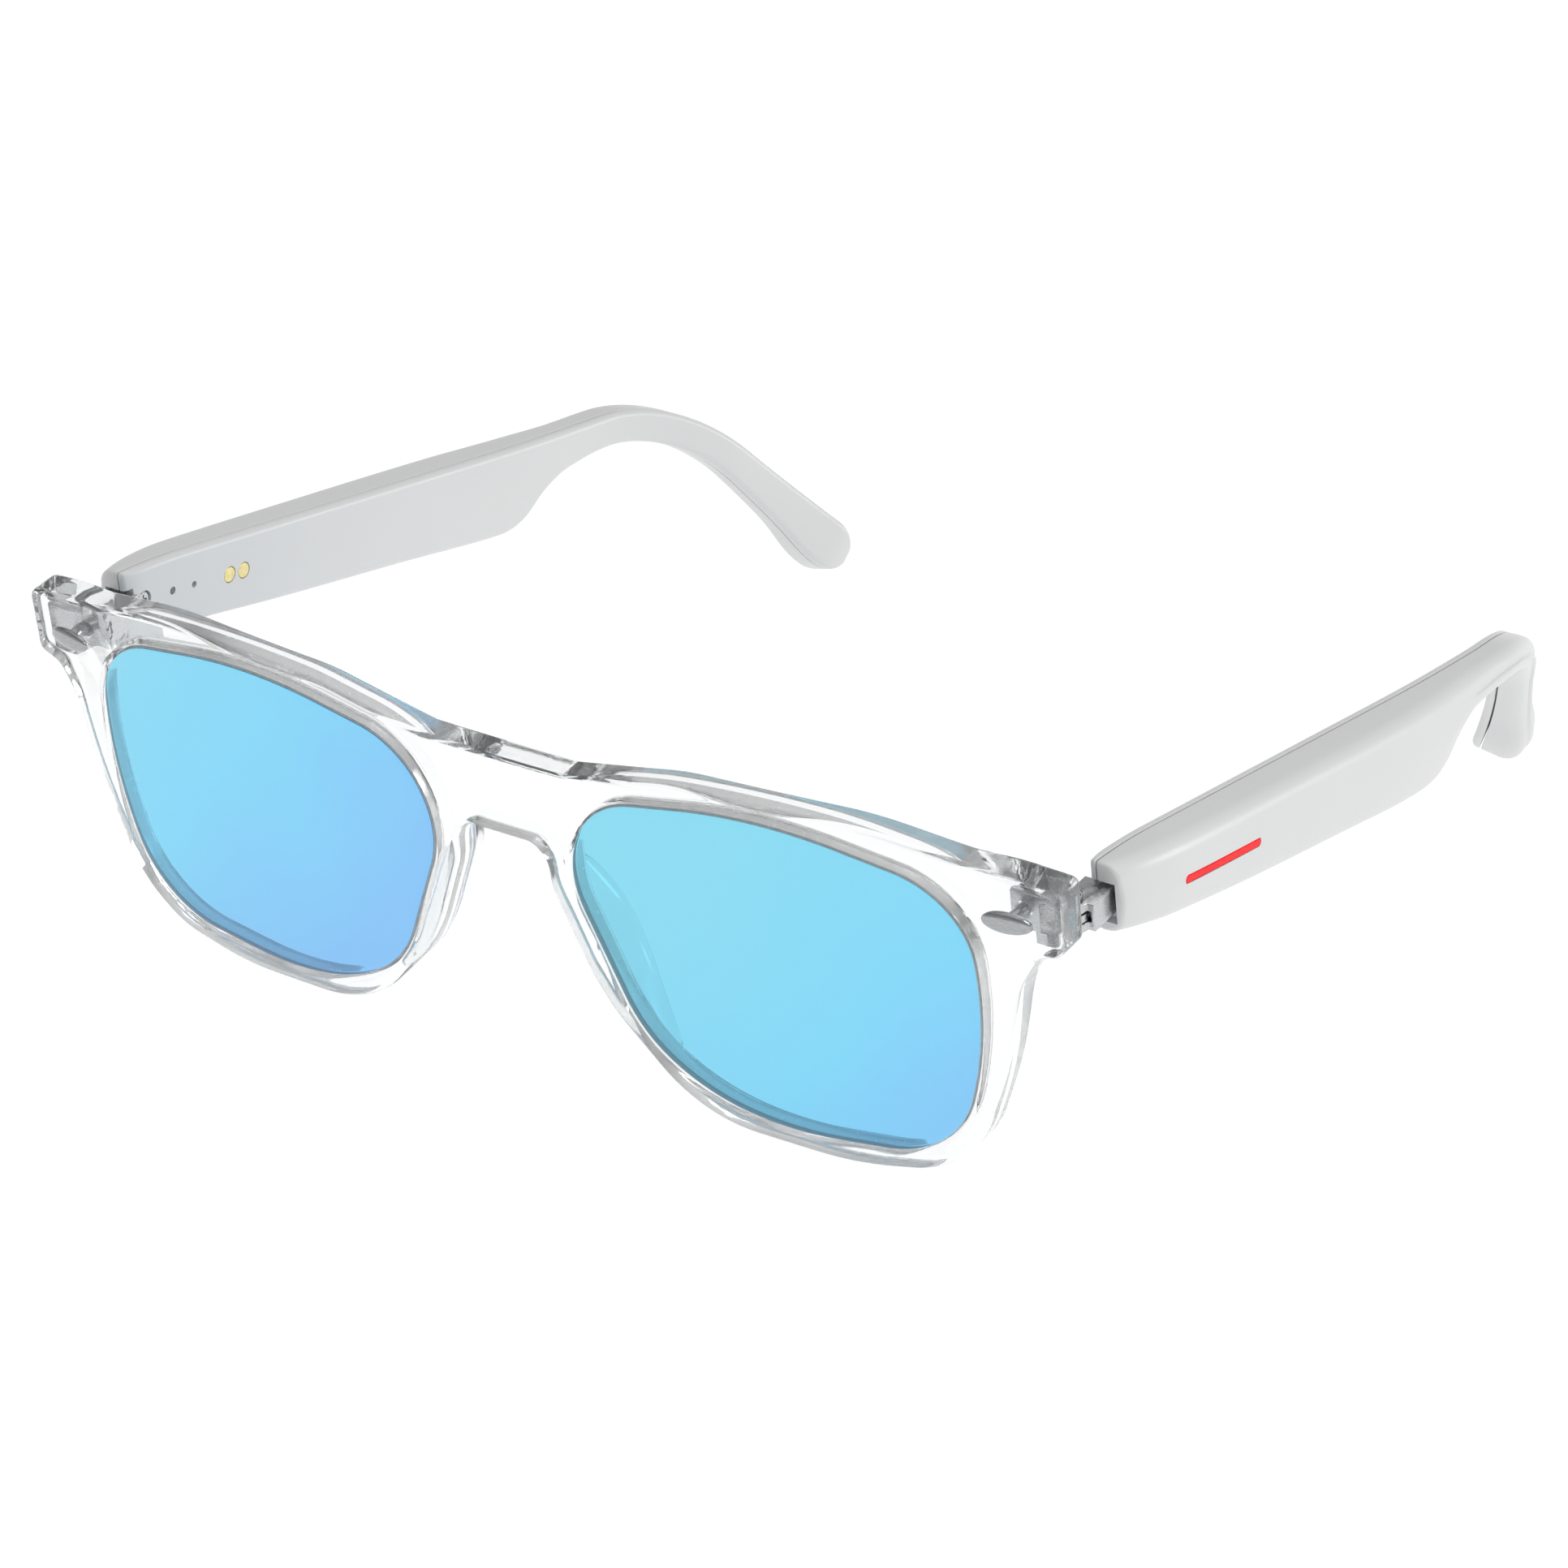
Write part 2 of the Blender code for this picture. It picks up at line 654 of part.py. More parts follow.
def place_ring(distance, profile, split, depth, share):
    """Put a cross-section on the temple, shrunk towards the parting plane where the end is rounded."""
    ring = []
    for outward, down in profile:
        wide = split + (outward - split) * share
        deep = depth / 2 + (down - depth / 2) * share
        ring.append(on_temple(distance, wide, deep))
    return ring


def cavity():
    """The room inside the shell, open towards the cover."""
    rings = []
    for distance in CAVITY:
        width, depth, _ = temple_size(distance)
        deep = (WALL, depth - WALL)
        wide = (COVER_THICK, width - OUTER_CROWN - WALL)
        corners = ((wide[0], deep[0]), (wide[1], deep[0]), (wide[1], deep[1]), (wide[0], deep[1]))
        rings.append([on_temple(distance, a, b) for a, b in corners])
    return loft(rings)


def block(span, wide, deep, steps=1):
    """A box that follows the temple over a span of distances."""
    start, end = span
    rings = []
    for index in range(steps + 1):
        distance = start + (end - start) * index / steps
        corners = ((wide[0], deep[0]), (wide[1], deep[0]), (wide[1], deep[1]), (wide[0], deep[1]))
        rings.append([on_temple(distance, a, b) for a, b in corners])
    return loft(rings)


def across(distance, down, radii, count=12):
    """A turned piece that points out of the temple's inner face: rows of (radius, outward)."""
    point, side, below = temple_frame(distance)
    forward = below.cross(side) * -1
    rings = []
    for radius, outward in radii:
        centre = point + side * outward + below * down
        rings.append([centre + forward * a + below * b for a, b in circle(radius, count)])
    return loft(rings)


def across_hole(distance, down, radius, low, high):
    return across(distance, down, ((radius, low), (radius, high)))


def temple_shell(group):
    shape = loft([shell_ring(distance) for distance in TEMPLE_STATIONS])
    made = group.add("_temple_shell", shape, PLASTIC, smooth=True)
    group.cut(made, "_shell_cavity", cavity())
    group.cut(made, "_leaf_pocket", leaf_pocket())
    group.cut(made, "_shell_recess", end_recess())
    group.cut(made, "_mic_pocket", block(*MIC_POCKET))
    start, end, down, half = STRIP
    width = along(TEMPLE_WIDTH, (start + end) / 2)
    deep = (down - half - GAP, down + half + GAP)
    groove = block((start - GAP, end + GAP), (width - STRIP_DEEP - GAP, width + 2), deep, 2)
    group.cut(made, "_strip_groove", groove)
    group.cut(made, "_grille_slot", grille_slot())
    return made


def temple_cover(group):
    shape = loft([cover_ring(distance) for distance in TEMPLE_STATIONS])
    made = group.add("_temple_cover", shape, PLASTIC, smooth=True)
    distance, down, radius = COVER_SCREW
    sink = across(distance, down, (
        (radius + GAP, -2), (radius + GAP, 0.95), (COVER_SCREW_SHANK + GAP, 0.95),
        (COVER_SCREW_SHANK + GAP, 3),
    ))
    group.cut(made, "_cover_screw_hole", sink)
    group.cut(made, "_cover_recess", end_recess())
    distance, down, radius = LED_AT
    group.cut(made, "_led_hole", across_hole(distance, down, radius + GAP, -2, 3))
    distance, down, radius = MIC_AT
    group.cut(made, "_mic_hole", across_hole(distance, down, radius, -2, 3))
    for name, distance in CONTACTS:
        hole = across_hole(distance, CONTACT_DEPTH, CONTACT_RADIUS + GAP * 0.85, -2, 3)
        group.cut(made, "_contact_hole_" + name, hole)
    return made


def temple_parts(group):
    """Everything that the temple carries besides its two shells."""
    distance, down, radius = COVER_SCREW
    face = cover_face(distance)
    head = ((radius * 0.8, face), (radius, face + 0.1), (radius, COVER_SCREW_HEAD))
    shank = ((COVER_SCREW_SHANK, COVER_SCREW_HEAD), (COVER_SCREW_SHANK, COVER_SCREW_END))
    screw = group.add("_cover_screw", across(distance, down, (*head, *shank)), STEEL, smooth=True)
    driver_slot = block((distance - 0.15, distance + 0.15), (-1, face + 0.2), (down - 0.7, down + 0.7))
    group.cut(screw, "_cover_screw_slot", driver_slot)

    distance, down, radius = LED_AT
    pipe = across(distance, down, ((radius * 0.8, 0.02), (radius, 0.15), (radius, COVER_THICK)), 10)
    group.add("_status_led", pipe, LIGHT_PIPE, smooth=True)
    group.add("_microphone", block(*MICROPHONE), TIN)
    for name, distance in CONTACTS:
        pin, end = CONTACT_PIN
        rows = ((CONTACT_RADIUS, 0.0), (CONTACT_RADIUS, COVER_THICK), (pin, COVER_THICK), (pin, end))
        group.add("_charge_contact_" + name, across(distance, CONTACT_DEPTH, rows), GOLD, smooth=True)

    board = group.add("_circuit_board", block(*BOARD), BOARD_GREEN)
    group.join(board, "_board_module", block(*BOARD_MODULE))
    group.join(board, "_board_power_chip", block(*BOARD_POWER_CHIP))
    battery = group.add("_battery", block(*BATTERY), FOIL)
    round_edges(battery, 0.8, 2)
    speaker = group.add("_speaker", block(*SPEAKER), DARK_METAL)
    round_edges(speaker, 0.9, 2)
    distance, down, radius = MAGNET
    group.add("_magnet", across_hole(distance, down, radius, COVER_THICK + GAP, MAGNET_END), STEEL)
    group.add("_touch_sensor", block(*SENSOR, 2), COPPER)

    start, end, inner, outer = GRILLE
    depth = along(TEMPLE_DEPTH, (start + end) / 2)
    mesh = block((start, end), (inner, outer), (depth - WALL + 0.1, depth - 0.35))
    group.add("_speaker_mesh", mesh, DARK_METAL)
    start, end, down, half = STRIP
    width = along(TEMPLE_WIDTH, (start + end) / 2)
    strip = block((start, end), (width - STRIP_DEEP, width - 0.02), (down - half, down + half), 2)
    group.add("_touch_strip", strip, RED)


def grille_slot():
    start, end, inner, outer = GRILLE
    deep = (along(TEMPLE_DEPTH, start) - WALL - 1, along(TEMPLE_DEPTH, end) + 3)
    return block((start - GAP, end + GAP), (inner - GAP, outer + GAP), deep)


# ---------------------------------------------------------------- assembly

clear_scene()
CUTTER_FINISH = material("cutter", (1.0, 0.4, 0.1), 0.5)
CLEAR = material("clear_frame", (0.93, 0.95, 0.96), 0.05, transmission=1.0)
PAD = material("clear_pad", (0.93, 0.95, 0.96), 0.12, transmission=1.0)
TINT = material("blue_lens", (0.25, 0.66, 0.92), 0.04, transmission=0.6)
PLASTIC = material("temple_plastic", (0.68, 0.69, 0.69), 0.32)
STEEL = material("steel", (0.55, 0.56, 0.57), 0.25, 1.0)
DARK_METAL = material("dark_metal", (0.2, 0.21, 0.22), 0.4, 0.8)
GOLD = material("gold_plating", (0.83, 0.67, 0.3), 0.25, 1.0)
COPPER = material("copper_film", (0.72, 0.42, 0.22), 0.4, 1.0)
TIN = material("tinned_can", (0.7, 0.7, 0.68), 0.35, 1.0)
BOARD_GREEN = material("circuit_board", (0.03, 0.2, 0.1), 0.5)
FOIL = material("battery_foil", (0.6, 0.61, 0.64), 0.35, 0.7)
LIGHT_PIPE = material("light_pipe", (0.25, 0.26, 0.27), 0.2)
RED = material("red_strip", (0.9, 0.06, 0.07), 0.35)

stance = empty("stance", location=(0, STANCE_BACK, STANCE_LIFT))
stance.rotation_euler.x = STANCE_TILT
front_frame(Group(stance))
for side_name, direction in SIDES:
    fixed = Group(stance, side=direction, prefix=side_name)
    lens(fixed)
    nose_pad(fixed)
    fixed.add("_rivet", rivet_shape(), STEEL, smooth=True)
    front_hinge(fixed)
    hinge_pin(fixed)
    pivot = (direction * PIVOT_X, PIVOT_Y, 0)
    axis = empty(side_name + "_temple_axis", stance, pivot)
    swinging = Group(axis, origin=pivot, side=direction, prefix=side_name)
    temple_hinge(swinging)
    temple_shell(swinging)
    temple_cover(swinging)
    temple_parts(swinging)
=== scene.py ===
import math

import bmesh
import bpy
from mathutils import Matrix, Vector


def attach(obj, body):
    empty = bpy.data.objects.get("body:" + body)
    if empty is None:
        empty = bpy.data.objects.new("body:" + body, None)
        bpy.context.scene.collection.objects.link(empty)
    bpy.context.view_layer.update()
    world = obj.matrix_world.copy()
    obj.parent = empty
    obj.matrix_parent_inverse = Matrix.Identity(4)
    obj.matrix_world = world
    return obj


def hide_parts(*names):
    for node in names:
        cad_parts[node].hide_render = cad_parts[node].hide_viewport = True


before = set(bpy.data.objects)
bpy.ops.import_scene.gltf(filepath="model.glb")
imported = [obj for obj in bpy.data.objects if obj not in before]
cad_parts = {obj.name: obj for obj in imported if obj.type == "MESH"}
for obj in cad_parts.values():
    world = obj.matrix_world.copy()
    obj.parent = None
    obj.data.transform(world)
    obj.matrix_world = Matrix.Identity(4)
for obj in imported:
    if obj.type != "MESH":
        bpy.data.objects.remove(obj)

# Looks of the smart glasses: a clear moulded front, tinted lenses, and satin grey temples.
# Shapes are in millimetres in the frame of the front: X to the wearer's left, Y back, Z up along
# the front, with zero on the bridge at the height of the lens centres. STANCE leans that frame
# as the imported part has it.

MM = 0.001
TILT = math.radians(8.767)
STANCE_AT = (0.0, -70.154, 22.374)
STANCE = (Matrix.Translation(Vector(STANCE_AT) * MM) @ Matrix.Rotation(TILT, 4, "X")
          @ Matrix.Diagonal((MM, MM, MM, 1)))
SIDES = (("left", 1), ("right", -1))
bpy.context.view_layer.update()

# Camera: a three-quarter view from the wearer's left, seen a little from above
CAMERA_AT = (0.3905, -0.5797, 0.3469)
CAMERA_TURN = (64.24, 0.22, 34.563)
CAMERA_LENS = 145.5
CAMERA_SENSOR = 36.0
CAMERA_NEAR = 0.01

# Front: half outline as corners (x, z, corner radius), from the top of the bridge to its underside
BRIDGE_TOP = 18.5
BRIDGE_UNDER = 10.9
FRONT_CORNERS = (
    (10.0, 20.3, 40.0), (24.7, 23.0, 30.0), (48.4, 23.4, 46.0), (71.9, 19.8, 1.2), (71.8, 11.6, 1.4),
    (68.6, 10.7, 2.4), (66.4, 6.7, 8.0), (64.4, -4.2, 62.0), (60.2, -16.3, 15.0), (54.0, -21.2, 11.0),
    (43.8, -23.1, 41.0), (23.8, -22.2, 18.0), (13.4, -10.9, 17.0), (10.5, -6.2, 40.0), (6.4, 4.3, 8.0),
    (6.2, 8.9, 4.0),
)
LENS_CORNERS = (
    (60.5, 16.9, 12.0), (35.2, 21.6, 65.0), (13.5, 17.8, 11.0), (8.6, 7.5, 24.5), (16.9, -13.0, 30.0),
    (25.5, -18.9, 24.0), (35.9, -20.8, 39.0), (57.2, -18.9, 13.3), (62.0, -0.7, 68.0),
)
ARC_STEP = math.radians(5)
ARC_SHARE = 0.49               # a corner's arc takes up to this share of the shorter side beside it
LONGEST_RUN = 1.2              # no straight stretch of an outline is longer, so that it follows the bend
SLICE = 3.0                    # spacing of the cuts that let the flat faces follow the bend
SLICES = 23                    # cuts on each side of the middle
FRONT_THICK = 4.0
FRONT_BEND = 0.00103
END_SWELL = 0.8
END_SWELL_X = (59.5, 66.5)
END_SWELL_Z = (3.0, 11.0)
EDGE_ROUND = 0.75
EDGE_STEPS = 4
LENS_FACE = 0.15
LENS_THICK = 1.6
LENS_GAP = 0.06
LENS_ROUND = 0.18
LENS_ROUND_MIDDLE = 0.3        # where the rounded edge's middle point lies, as a share of the radius
EDGE_LEAN = 0.5                # faces that lean less than this towards the front belong to the edge
LENS_SHARES = (0.08, 0.2, 0.34, 0.48, 0.62, 0.74, 0.84, 0.92, 0.97)

# Nose pads: height, reach, spread and thickness
PAD_STATIONS = (
    (7.4, 1.0, 0.2, 1.8), (5.6, 2.6, 0.5, 2.5), (2.4, 4.2, 0.9, 2.9), (-2.0, 4.8, 1.2, 3.1),
    (-6.5, 4.5, 1.1, 3.0), (-10.5, 3.2, 0.8, 2.7), (-13.8, 1.7, 0.5, 2.2), (-16.0, 0.6, 0.2, 1.6),
)
PAD_INSET = 0.5
PAD_GAP = 0.02
# Points of a pad's section: sideways by shares of spread and thickness and a length,
# back by a share of the reach and a length
PAD_SECTION = (
    (0.0, 0.0, 0.0, 0.0, 0.0), (0.4, 0.0, 0.0, 0.45, 0.0), (0.8, 0.0, 0.0, 1.0, -0.6),
    (1.0, 0.0, 0.4, 1.0, 0.0), (1.0, 0.5, 0.0, 1.0, -0.05), (0.9, 0.75, 0.0, 0.6, 0.0),
    (0.0, 1.0, 0.0, 0.0, 0.0),
)
PAD_SMOOTHING = 3

# Rivets and hinges
RIVET_AT = (65.6, 15.1)
RIVET_HEAD = (3.0, 1.35, 0.75)
RIVET_SINK = 0.35
RIVET_SHANK = 0.8
RIVET_END = 10.4
RIVET_SIDES = 64
DOME_FROM = 6                  # the dome's rings, in degrees from its top
DOME_SWEEP = 78
DOME_STEPS = 8
SAME_PLACE = 1e-6
FLAT_ANGLE = math.radians(2)
BEVEL_ANGLE = math.radians(40)

# Temples
TOP_START = (17.4, 16.3)
TOP_SLOPE = math.radians(-9.5)
TOP_RUNS = ((12.0, -6.5), (56.0, 0.0), (26.0, 2.5), (25.0, -43.5), (20.0, 0.0))
TEMPLE_DEPTH = (
    (0, 9.0), (13, 9.5), (30, 10.2), (53, 10.8), (70, 11.4), (74.5, 11.2), (77.5, 10.0), (80.5, 7.6),
    (84.5, 5.7), (88, 5.0), (92, 4.5), (104, 4.3), (114, 4.5), (122, 5.0), (128, 5.7), (134, 6.8),
    (139, 6.8),
)
TEMPLE_WIDTH = (
    (0, 4.7), (3, 5.6), (8, 6.4), (13, 6.8), (30, 7.1), (62, 7.3), (76, 6.7), (88, 5.9), (104, 5.4),
    (120, 5.2), (128, 5.7), (134, 6.8), (139, 6.6),
)
TEMPLE_LENGTH = 139.0
STATION_STEP = 1.0
INNER_FACE_X = 67.5
INNER_TAPER = 0.04
HOOK_BEND_FROM = 106.4
HOOK_BEND = 0.0137
UPRIGHT_END = 10.0
NOSE_TAPER = (0.6, 3.0)
COVER_THICK = 1.25
SEAM = 0.2
SEAM_ROUND = 0.16
INNER_ROUND = 0.9
OUTER_ROUND = 2.3
OUTER_CROWN = 0.35
WALL = 1.2
CAVITY = (14, 21, 33, 52, 62, 71)
FRONT_END_ROUND = 0.45
FRONT_END_STEPS = 4
TIP_ROUND = 3.2
TIP_DROP = 0.9
TIP_STEPS = 10
ROUND_STEPS = 8
CORNER_TO_WIDTH = 0.8          # limits of a corner's radius, as shares of the section
CORNER_TO_DEPTH = 0.42
CORNER_TO_COVER = 0.75
STRAIGHT = 1e-6

# Details on the temples: distance along the top line, depth below it, radius
COVER_SCREW = (2.7, 4.3, 1.1)
COVER_SCREW_SHANK = 0.45
COVER_SCREW_HEAD = 0.7
COVER_SCREW_END = 3.3
COVER_SCREW_BELOW = 0.12       # how far the head lies below the cover's face
COVER_SCREW_SINK = (0.08, 0.95)
COVER_SCREW_SLOT = (0.62, 0.13, 0.3)
LED_AT = (8.4, 4.5, 0.45)
MIC_AT = (12.6, 4.6, 0.42)
CONTACTS = (("front", 19.1), ("rear", 21.7))
CONTACT_DEPTH = 4.8
CONTACT_RADIUS = 1.0
CONTACT_PIN = (0.6, 2.3)
CONTACT_GAP = 0.06
LED_GAP = 0.04
STRIP = (11.4, 28.2, 4.8, 0.5)
STRIP_DEEP = 0.45
STRIP_PROUD = 0.03
STRIP_CROWN = 0.12
GROOVE_GAP = 0.04
GROOVE_DEEPER = 0.1
GROOVE_TOP = 1.0
GRILLE = (65.3, 71.3, 2.4, 4.1)
LEAF_POCKET = ((68.1, 71.0), (13.4, 22.3), (9.5, 13.6))
END_RECESS = ((66.0, 71.1), (13.4, 18.5), (8.6, 13.8))
MIC_POCKET = ((10.0, 15.5), (1.0, 2.9), (2.8, 6.4))
GRILLE_IN = 1.0
GRILLE_OUT = 3.0
GAP = 0.3
DRILL_SPAN = (-2.0, 3.0)
TURNED_SIDES = 48
LED_SIDES = 32
SLOT_STEPS = 12
SMOOTH_BELOW = 30              # faces that meet at less than this many degrees shade smoothly
FACE_WEIGHT = 80

# Edges of small round pieces: share of the radius, and height below the top
SCREW_CROWN = ((0.55, 0.0), (0.82, 0.02), (1.0, 0.16))
CONTACT_CROWN = ((0.7, 0.0), (0.93, 0.03), (1.0, 0.12))
LED_CROWN = ((0.6, 0.04), (0.9, 0.1), (1.0, 0.2))


# ---------------------------------------------------------------- shape helpers

def smoothstep(value, low, high):
    """0 below low, 1 above high, and a smooth rise between."""
    share = min(1.0, max(0.0, (value - low) / (high - low)))
    return share * share * (3.0 - 2.0 * share)


def along(table, distance):
    """Read a table of (distance, size) rows with a smooth curve through them."""
    if distance <= table[0][0]:
        return table[0][1]
    for index in range(len(table) - 1):
        start, first = table[index]
        end, last = table[index + 1]
        if distance <= end:
            before = table[max(index - 1, 0)]
            after = table[min(index + 2, len(table) - 1)]
            length = end - start
            lead = (last - before[1]) / (end - before[0]) * length
            trail = (after[1] - first) / (after[0] - start) * length
            t = (distance - start) / length
            return ((2 * t**3 - 3 * t**2 + 1) * first + (t**3 - 2 * t**2 + t) * lead
                    + (3 * t**2 - 2 * t**3) * last + (t**3 - t**2) * trail)
    return table[-1][1]


def arc_corner(before, corner, after, radius):
    """Points of the arc that rounds one corner of an outline."""
    here = Vector(corner)
    back = (Vector(before) - here).normalized()
    ahead = (Vector(after) - here).normalized()
    half = math.acos(max(-1.0, min(1.0, back.dot(ahead)))) / 2
    reach = radius / math.tan(half)
    limit = ARC_SHARE * min((Vector(before) - here).length, (Vector(after) - here).length)
    if reach > limit:
        reach = limit
        radius = reach * math.tan(half)
    centre = here + (back + ahead).normalized() * (radius / math.sin(half))
    start = here + back * reach - centre
    sweep = math.pi - 2 * half
    if start.x * ahead.y - start.y * ahead.x < 0:
        sweep = -sweep
    count = max(2, round(abs(sweep) / ARC_STEP), math.ceil(abs(sweep) * radius / LONGEST_RUN))
    turned = []
    for index in range(count + 1):
        angle = sweep * index / count
        across = Vector((-start.y, start.x))
        turned.append(tuple(centre + start * math.cos(angle) + across * math.sin(angle)))
    return turned


def rounded(corners):
    """A closed outline from corners (x, z, radius)."""
    outline = []
    for index, (x, z, radius) in enumerate(corners):
        before = corners[index - 1][:2]
        after = corners[(index + 1) % len(corners)][:2]
        outline += arc_corner(before, (x, z), after, radius)
    return filled(outline)


def filled(outline):
    """Add points on the straight stretches of a closed outline."""
    full = []
    for index, point in enumerate(outline):
        after = outline[(index + 1) % len(outline)]
        run = (Vector(after) - Vector(point)).length
        count = max(1, math.ceil(run / LONGEST_RUN))
        for step in range(count):
            share = step / count
            full.append(tuple(a + (b - a) * share for a, b in zip(point, after)))
    return full


def grow(outline, distance):
    """Move each point of an anticlockwise outline out by a distance along its normal."""
    moved = []
    for index, point in enumerate(outline):
        before = Vector(outline[index - 1])
        after = Vector(outline[(index + 1) % len(outline)])
        run = (after - before).normalized()
        moved.append((point[0] + run.y * distance, point[1] - run.x * distance))
    return moved


def skin(shape, rings):
    """Faces between neighbouring rings of equal length; returns the rings' verts."""
    layers = [[shape.verts.new(point) for point in ring] for ring in rings]
    count = len(rings[0])
    for low, high in zip(layers, layers[1:]):
        for index in range(count):
            after = (index + 1) % count
            shape.faces.new((low[index], low[after], high[after], high[index]))
    return layers


def loft(rings):
    """A closed skin over rings of equal length, with flat ends."""
    shape = bmesh.new()
    layers = skin(shape, rings)
    shape.faces.new(layers[0])
    shape.faces.new(layers[-1])
    return shape


def box(x, y, z):
    """A block between three pairs of limits in the front's own frame."""
    corners = ((x[0], z[0]), (x[1], z[0]), (x[1], z[1]), (x[0], z[1]))
    return loft([[(a, depth, b) for a, b in corners] for depth in y])


def circle(radius, count=TURNED_SIDES):
    """Points of a circle round zero."""
    turn = 2 * math.pi / count
    return [(radius * math.cos(turn * i), radius * math.sin(turn * i)) for i in range(count)]


def applied(thing, kind, **settings):
    """Add a modifier and bake it into the mesh."""
    step = thing.modifiers.new(kind.lower(), kind)
    for name, value in settings.items():
        setattr(step, name, value)
    graph = bpy.context.evaluated_depsgraph_get()
    mesh = bpy.data.meshes.new_from_object(thing.evaluated_get(graph), depsgraph=graph)
    thing.modifiers.clear()
    thing.data = mesh


def placed(shape, side):
    """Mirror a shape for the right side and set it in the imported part's frame."""
    bmesh.ops.transform(shape, matrix=STANCE @ Matrix.Diagonal((side, 1, 1, 1)), verts=shape.verts)
    bmesh.ops.recalc_face_normals(shape, faces=shape.faces)
    return shape


def solid(name, shape, side=1):
    """Turn a finished shape into an object."""
    mesh = bpy.data.meshes.new(name)
    placed(shape, side).to_mesh(mesh)
    shape.free()
    made = bpy.data.objects.new(name, mesh)
    bpy.context.scene.collection.objects.link(made)
    return made


def carve(target, side, *cutters):
    """Cut shapes out of a solid."""
    for shape in cutters:
        tool = solid("cutter", shape, side)
        applied(target, "BOOLEAN", operation="DIFFERENCE", solver="EXACT", object=tool)
        bpy.data.objects.remove(tool, do_unlink=True)


def mark_edge(piece):
    """Give the faces of a lens's ground edge the piece's second material."""
    forward = (STANCE.to_3x3() @ Vector((0, 1, 0))).normalized()
    for face in piece.data.polygons:
        if abs(face.normal.dot(forward)) < EDGE_LEAN:
            face.material_index = 1


def finish(piece, body, node, looks, angle=SMOOTH_BELOW, weighted=False):
    """Shade a piece, give it its materials, and tie it to the CAD model."""
    piece.data.shade_smooth()
    piece.data.set_sharp_from_angle(angle=math.radians(angle))
    if weighted:
        applied(piece, "WEIGHTED_NORMAL", keep_sharp=True, weight=FACE_WEIGHT)
    for look in looks:
        piece.data.materials.append(look)
    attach(piece, body)
    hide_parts(node)


# ---------------------------------------------------------------- front

def front_depth(x):
    """How far the bent front lies behind its middle."""
    return FRONT_BEND * x * x


def bend_front(shape):
    """Bend the flat front back towards its ends, and thicken the end pieces."""
    for vert in shape.verts:
        x, y, z = vert.co
        swell = smoothstep(abs(x), *END_SWELL_X) * smoothstep(z, *END_SWELL_Z)
        vert.co.y += front_depth(x) + END_SWELL * swell * smoothstep(y, 0, FRONT_THICK)


def half_outline():
    """The left half of the outline, from the top of the bridge round to its underside."""
    half = []
    corners = ((0.0, BRIDGE_TOP, 0.0), *FRONT_CORNERS, (0.0, BRIDGE_UNDER, 0.0))
    for index in range(1, len(corners) - 1):
        x, z, radius = corners[index]
        half += arc_corner(corners[index - 1][:2], (x, z), corners[index + 1][:2], radius)
    return half


def front_outline():
    """The whole outline, anticlockwise when seen from the front with X to the right."""
    half = half_outline()
    whole = half + [(-x, z) for x, z in reversed(half)]
    return filled(whole[::-1])


def rounded_wall(outline, inward):
    """Rings down a moulded wall: rounded front edge, flat side, rounded back edge."""
    rings = []
    for index in range(EDGE_STEPS + 1):
        angle = math.pi / 2 * index / EDGE_STEPS
        inset = EDGE_ROUND * (1 - math.sin(angle))
        rings.append((grow(outline, inset * inward), EDGE_ROUND * (1 - math.cos(angle))))
    back = [(ring, FRONT_THICK - y) for ring, y in reversed(rings)]
    return [[(x, y, z) for x, z in ring] for ring, y in rings + back]


def clear_front():
    """The front in one piece; the flat walls of its lens openings take the second material."""
    lens = rounded(LENS_CORNERS)
    loops = [(front_outline(), -1)]
    loops += [(lens, 1), ([(-x, z) for x, z in reversed(lens)], 1)]
    shape = bmesh.new()
    front_edges = []
    back_edges = []
    for outline, inward in loops:
        layers = skin(shape, rounded_wall(outline, inward))
        for verts, edges in ((layers[0], front_edges), (layers[-1], back_edges)):
            edges += [shape.edges.get((verts[i - 1], verts[i])) for i in range(len(verts))]
        if inward > 0:
            # the walls of the lens openings take the second material, whose grey is painted shade
            rough_shaded_wall_verts = {*layers[EDGE_STEPS], *layers[EDGE_STEPS + 1]}
            for face in shape.faces:
                if rough_shaded_wall_verts.issuperset(face.verts):
                    face.material_index = 1
    for edges in (front_edges, back_edges):
        bmesh.ops.triangle_fill(shape, use_beauty=True, use_dissolve=False, edges=edges)
    for index in range(-SLICES, SLICES + 1):
        everything = [*shape.verts, *shape.edges, *shape.faces]
        bmesh.ops.bisect_plane(shape, geom=everything, plane_co=(index * SLICE, 0, 0), plane_no=(1, 0, 0))
    bend_front(shape)
    return solid("clear_front", shape)


def lens_glass(name, side):
    """A lens that fills its opening, with rounded edges, bent like the front."""
    opening = grow(rounded(LENS_CORNERS), -LENS_GAP)
    middle_x = sum(x for x, _ in opening) / len(opening)
    middle_z = sum(z for _, z in opening) / len(opening)

    def ring(outline, y, share=1.0):
        points = []
        for wide, high in outline:
            x = middle_x + (wide - middle_x) * share
            points.append((x, y + front_depth(x), middle_z + (high - middle_z) * share))
        return points

    inner = grow(opening, -LENS_ROUND)
    middle = LENS_ROUND * LENS_ROUND_MIDDLE
    back = LENS_FACE + LENS_THICK
    rings = [ring(inner, LENS_FACE, share) for share in (*LENS_SHARES, 1.0)]
    rings += [
        ring(grow(opening, -middle), LENS_FACE + middle),
        ring(opening, LENS_FACE + LENS_ROUND), ring(opening, back - LENS_ROUND),
        ring(grow(opening, -middle), back - middle),
    ]
    rings += [ring(inner, back, share) for share in (1.0, *reversed(LENS_SHARES))]
    return solid(name, loft(rings), side)


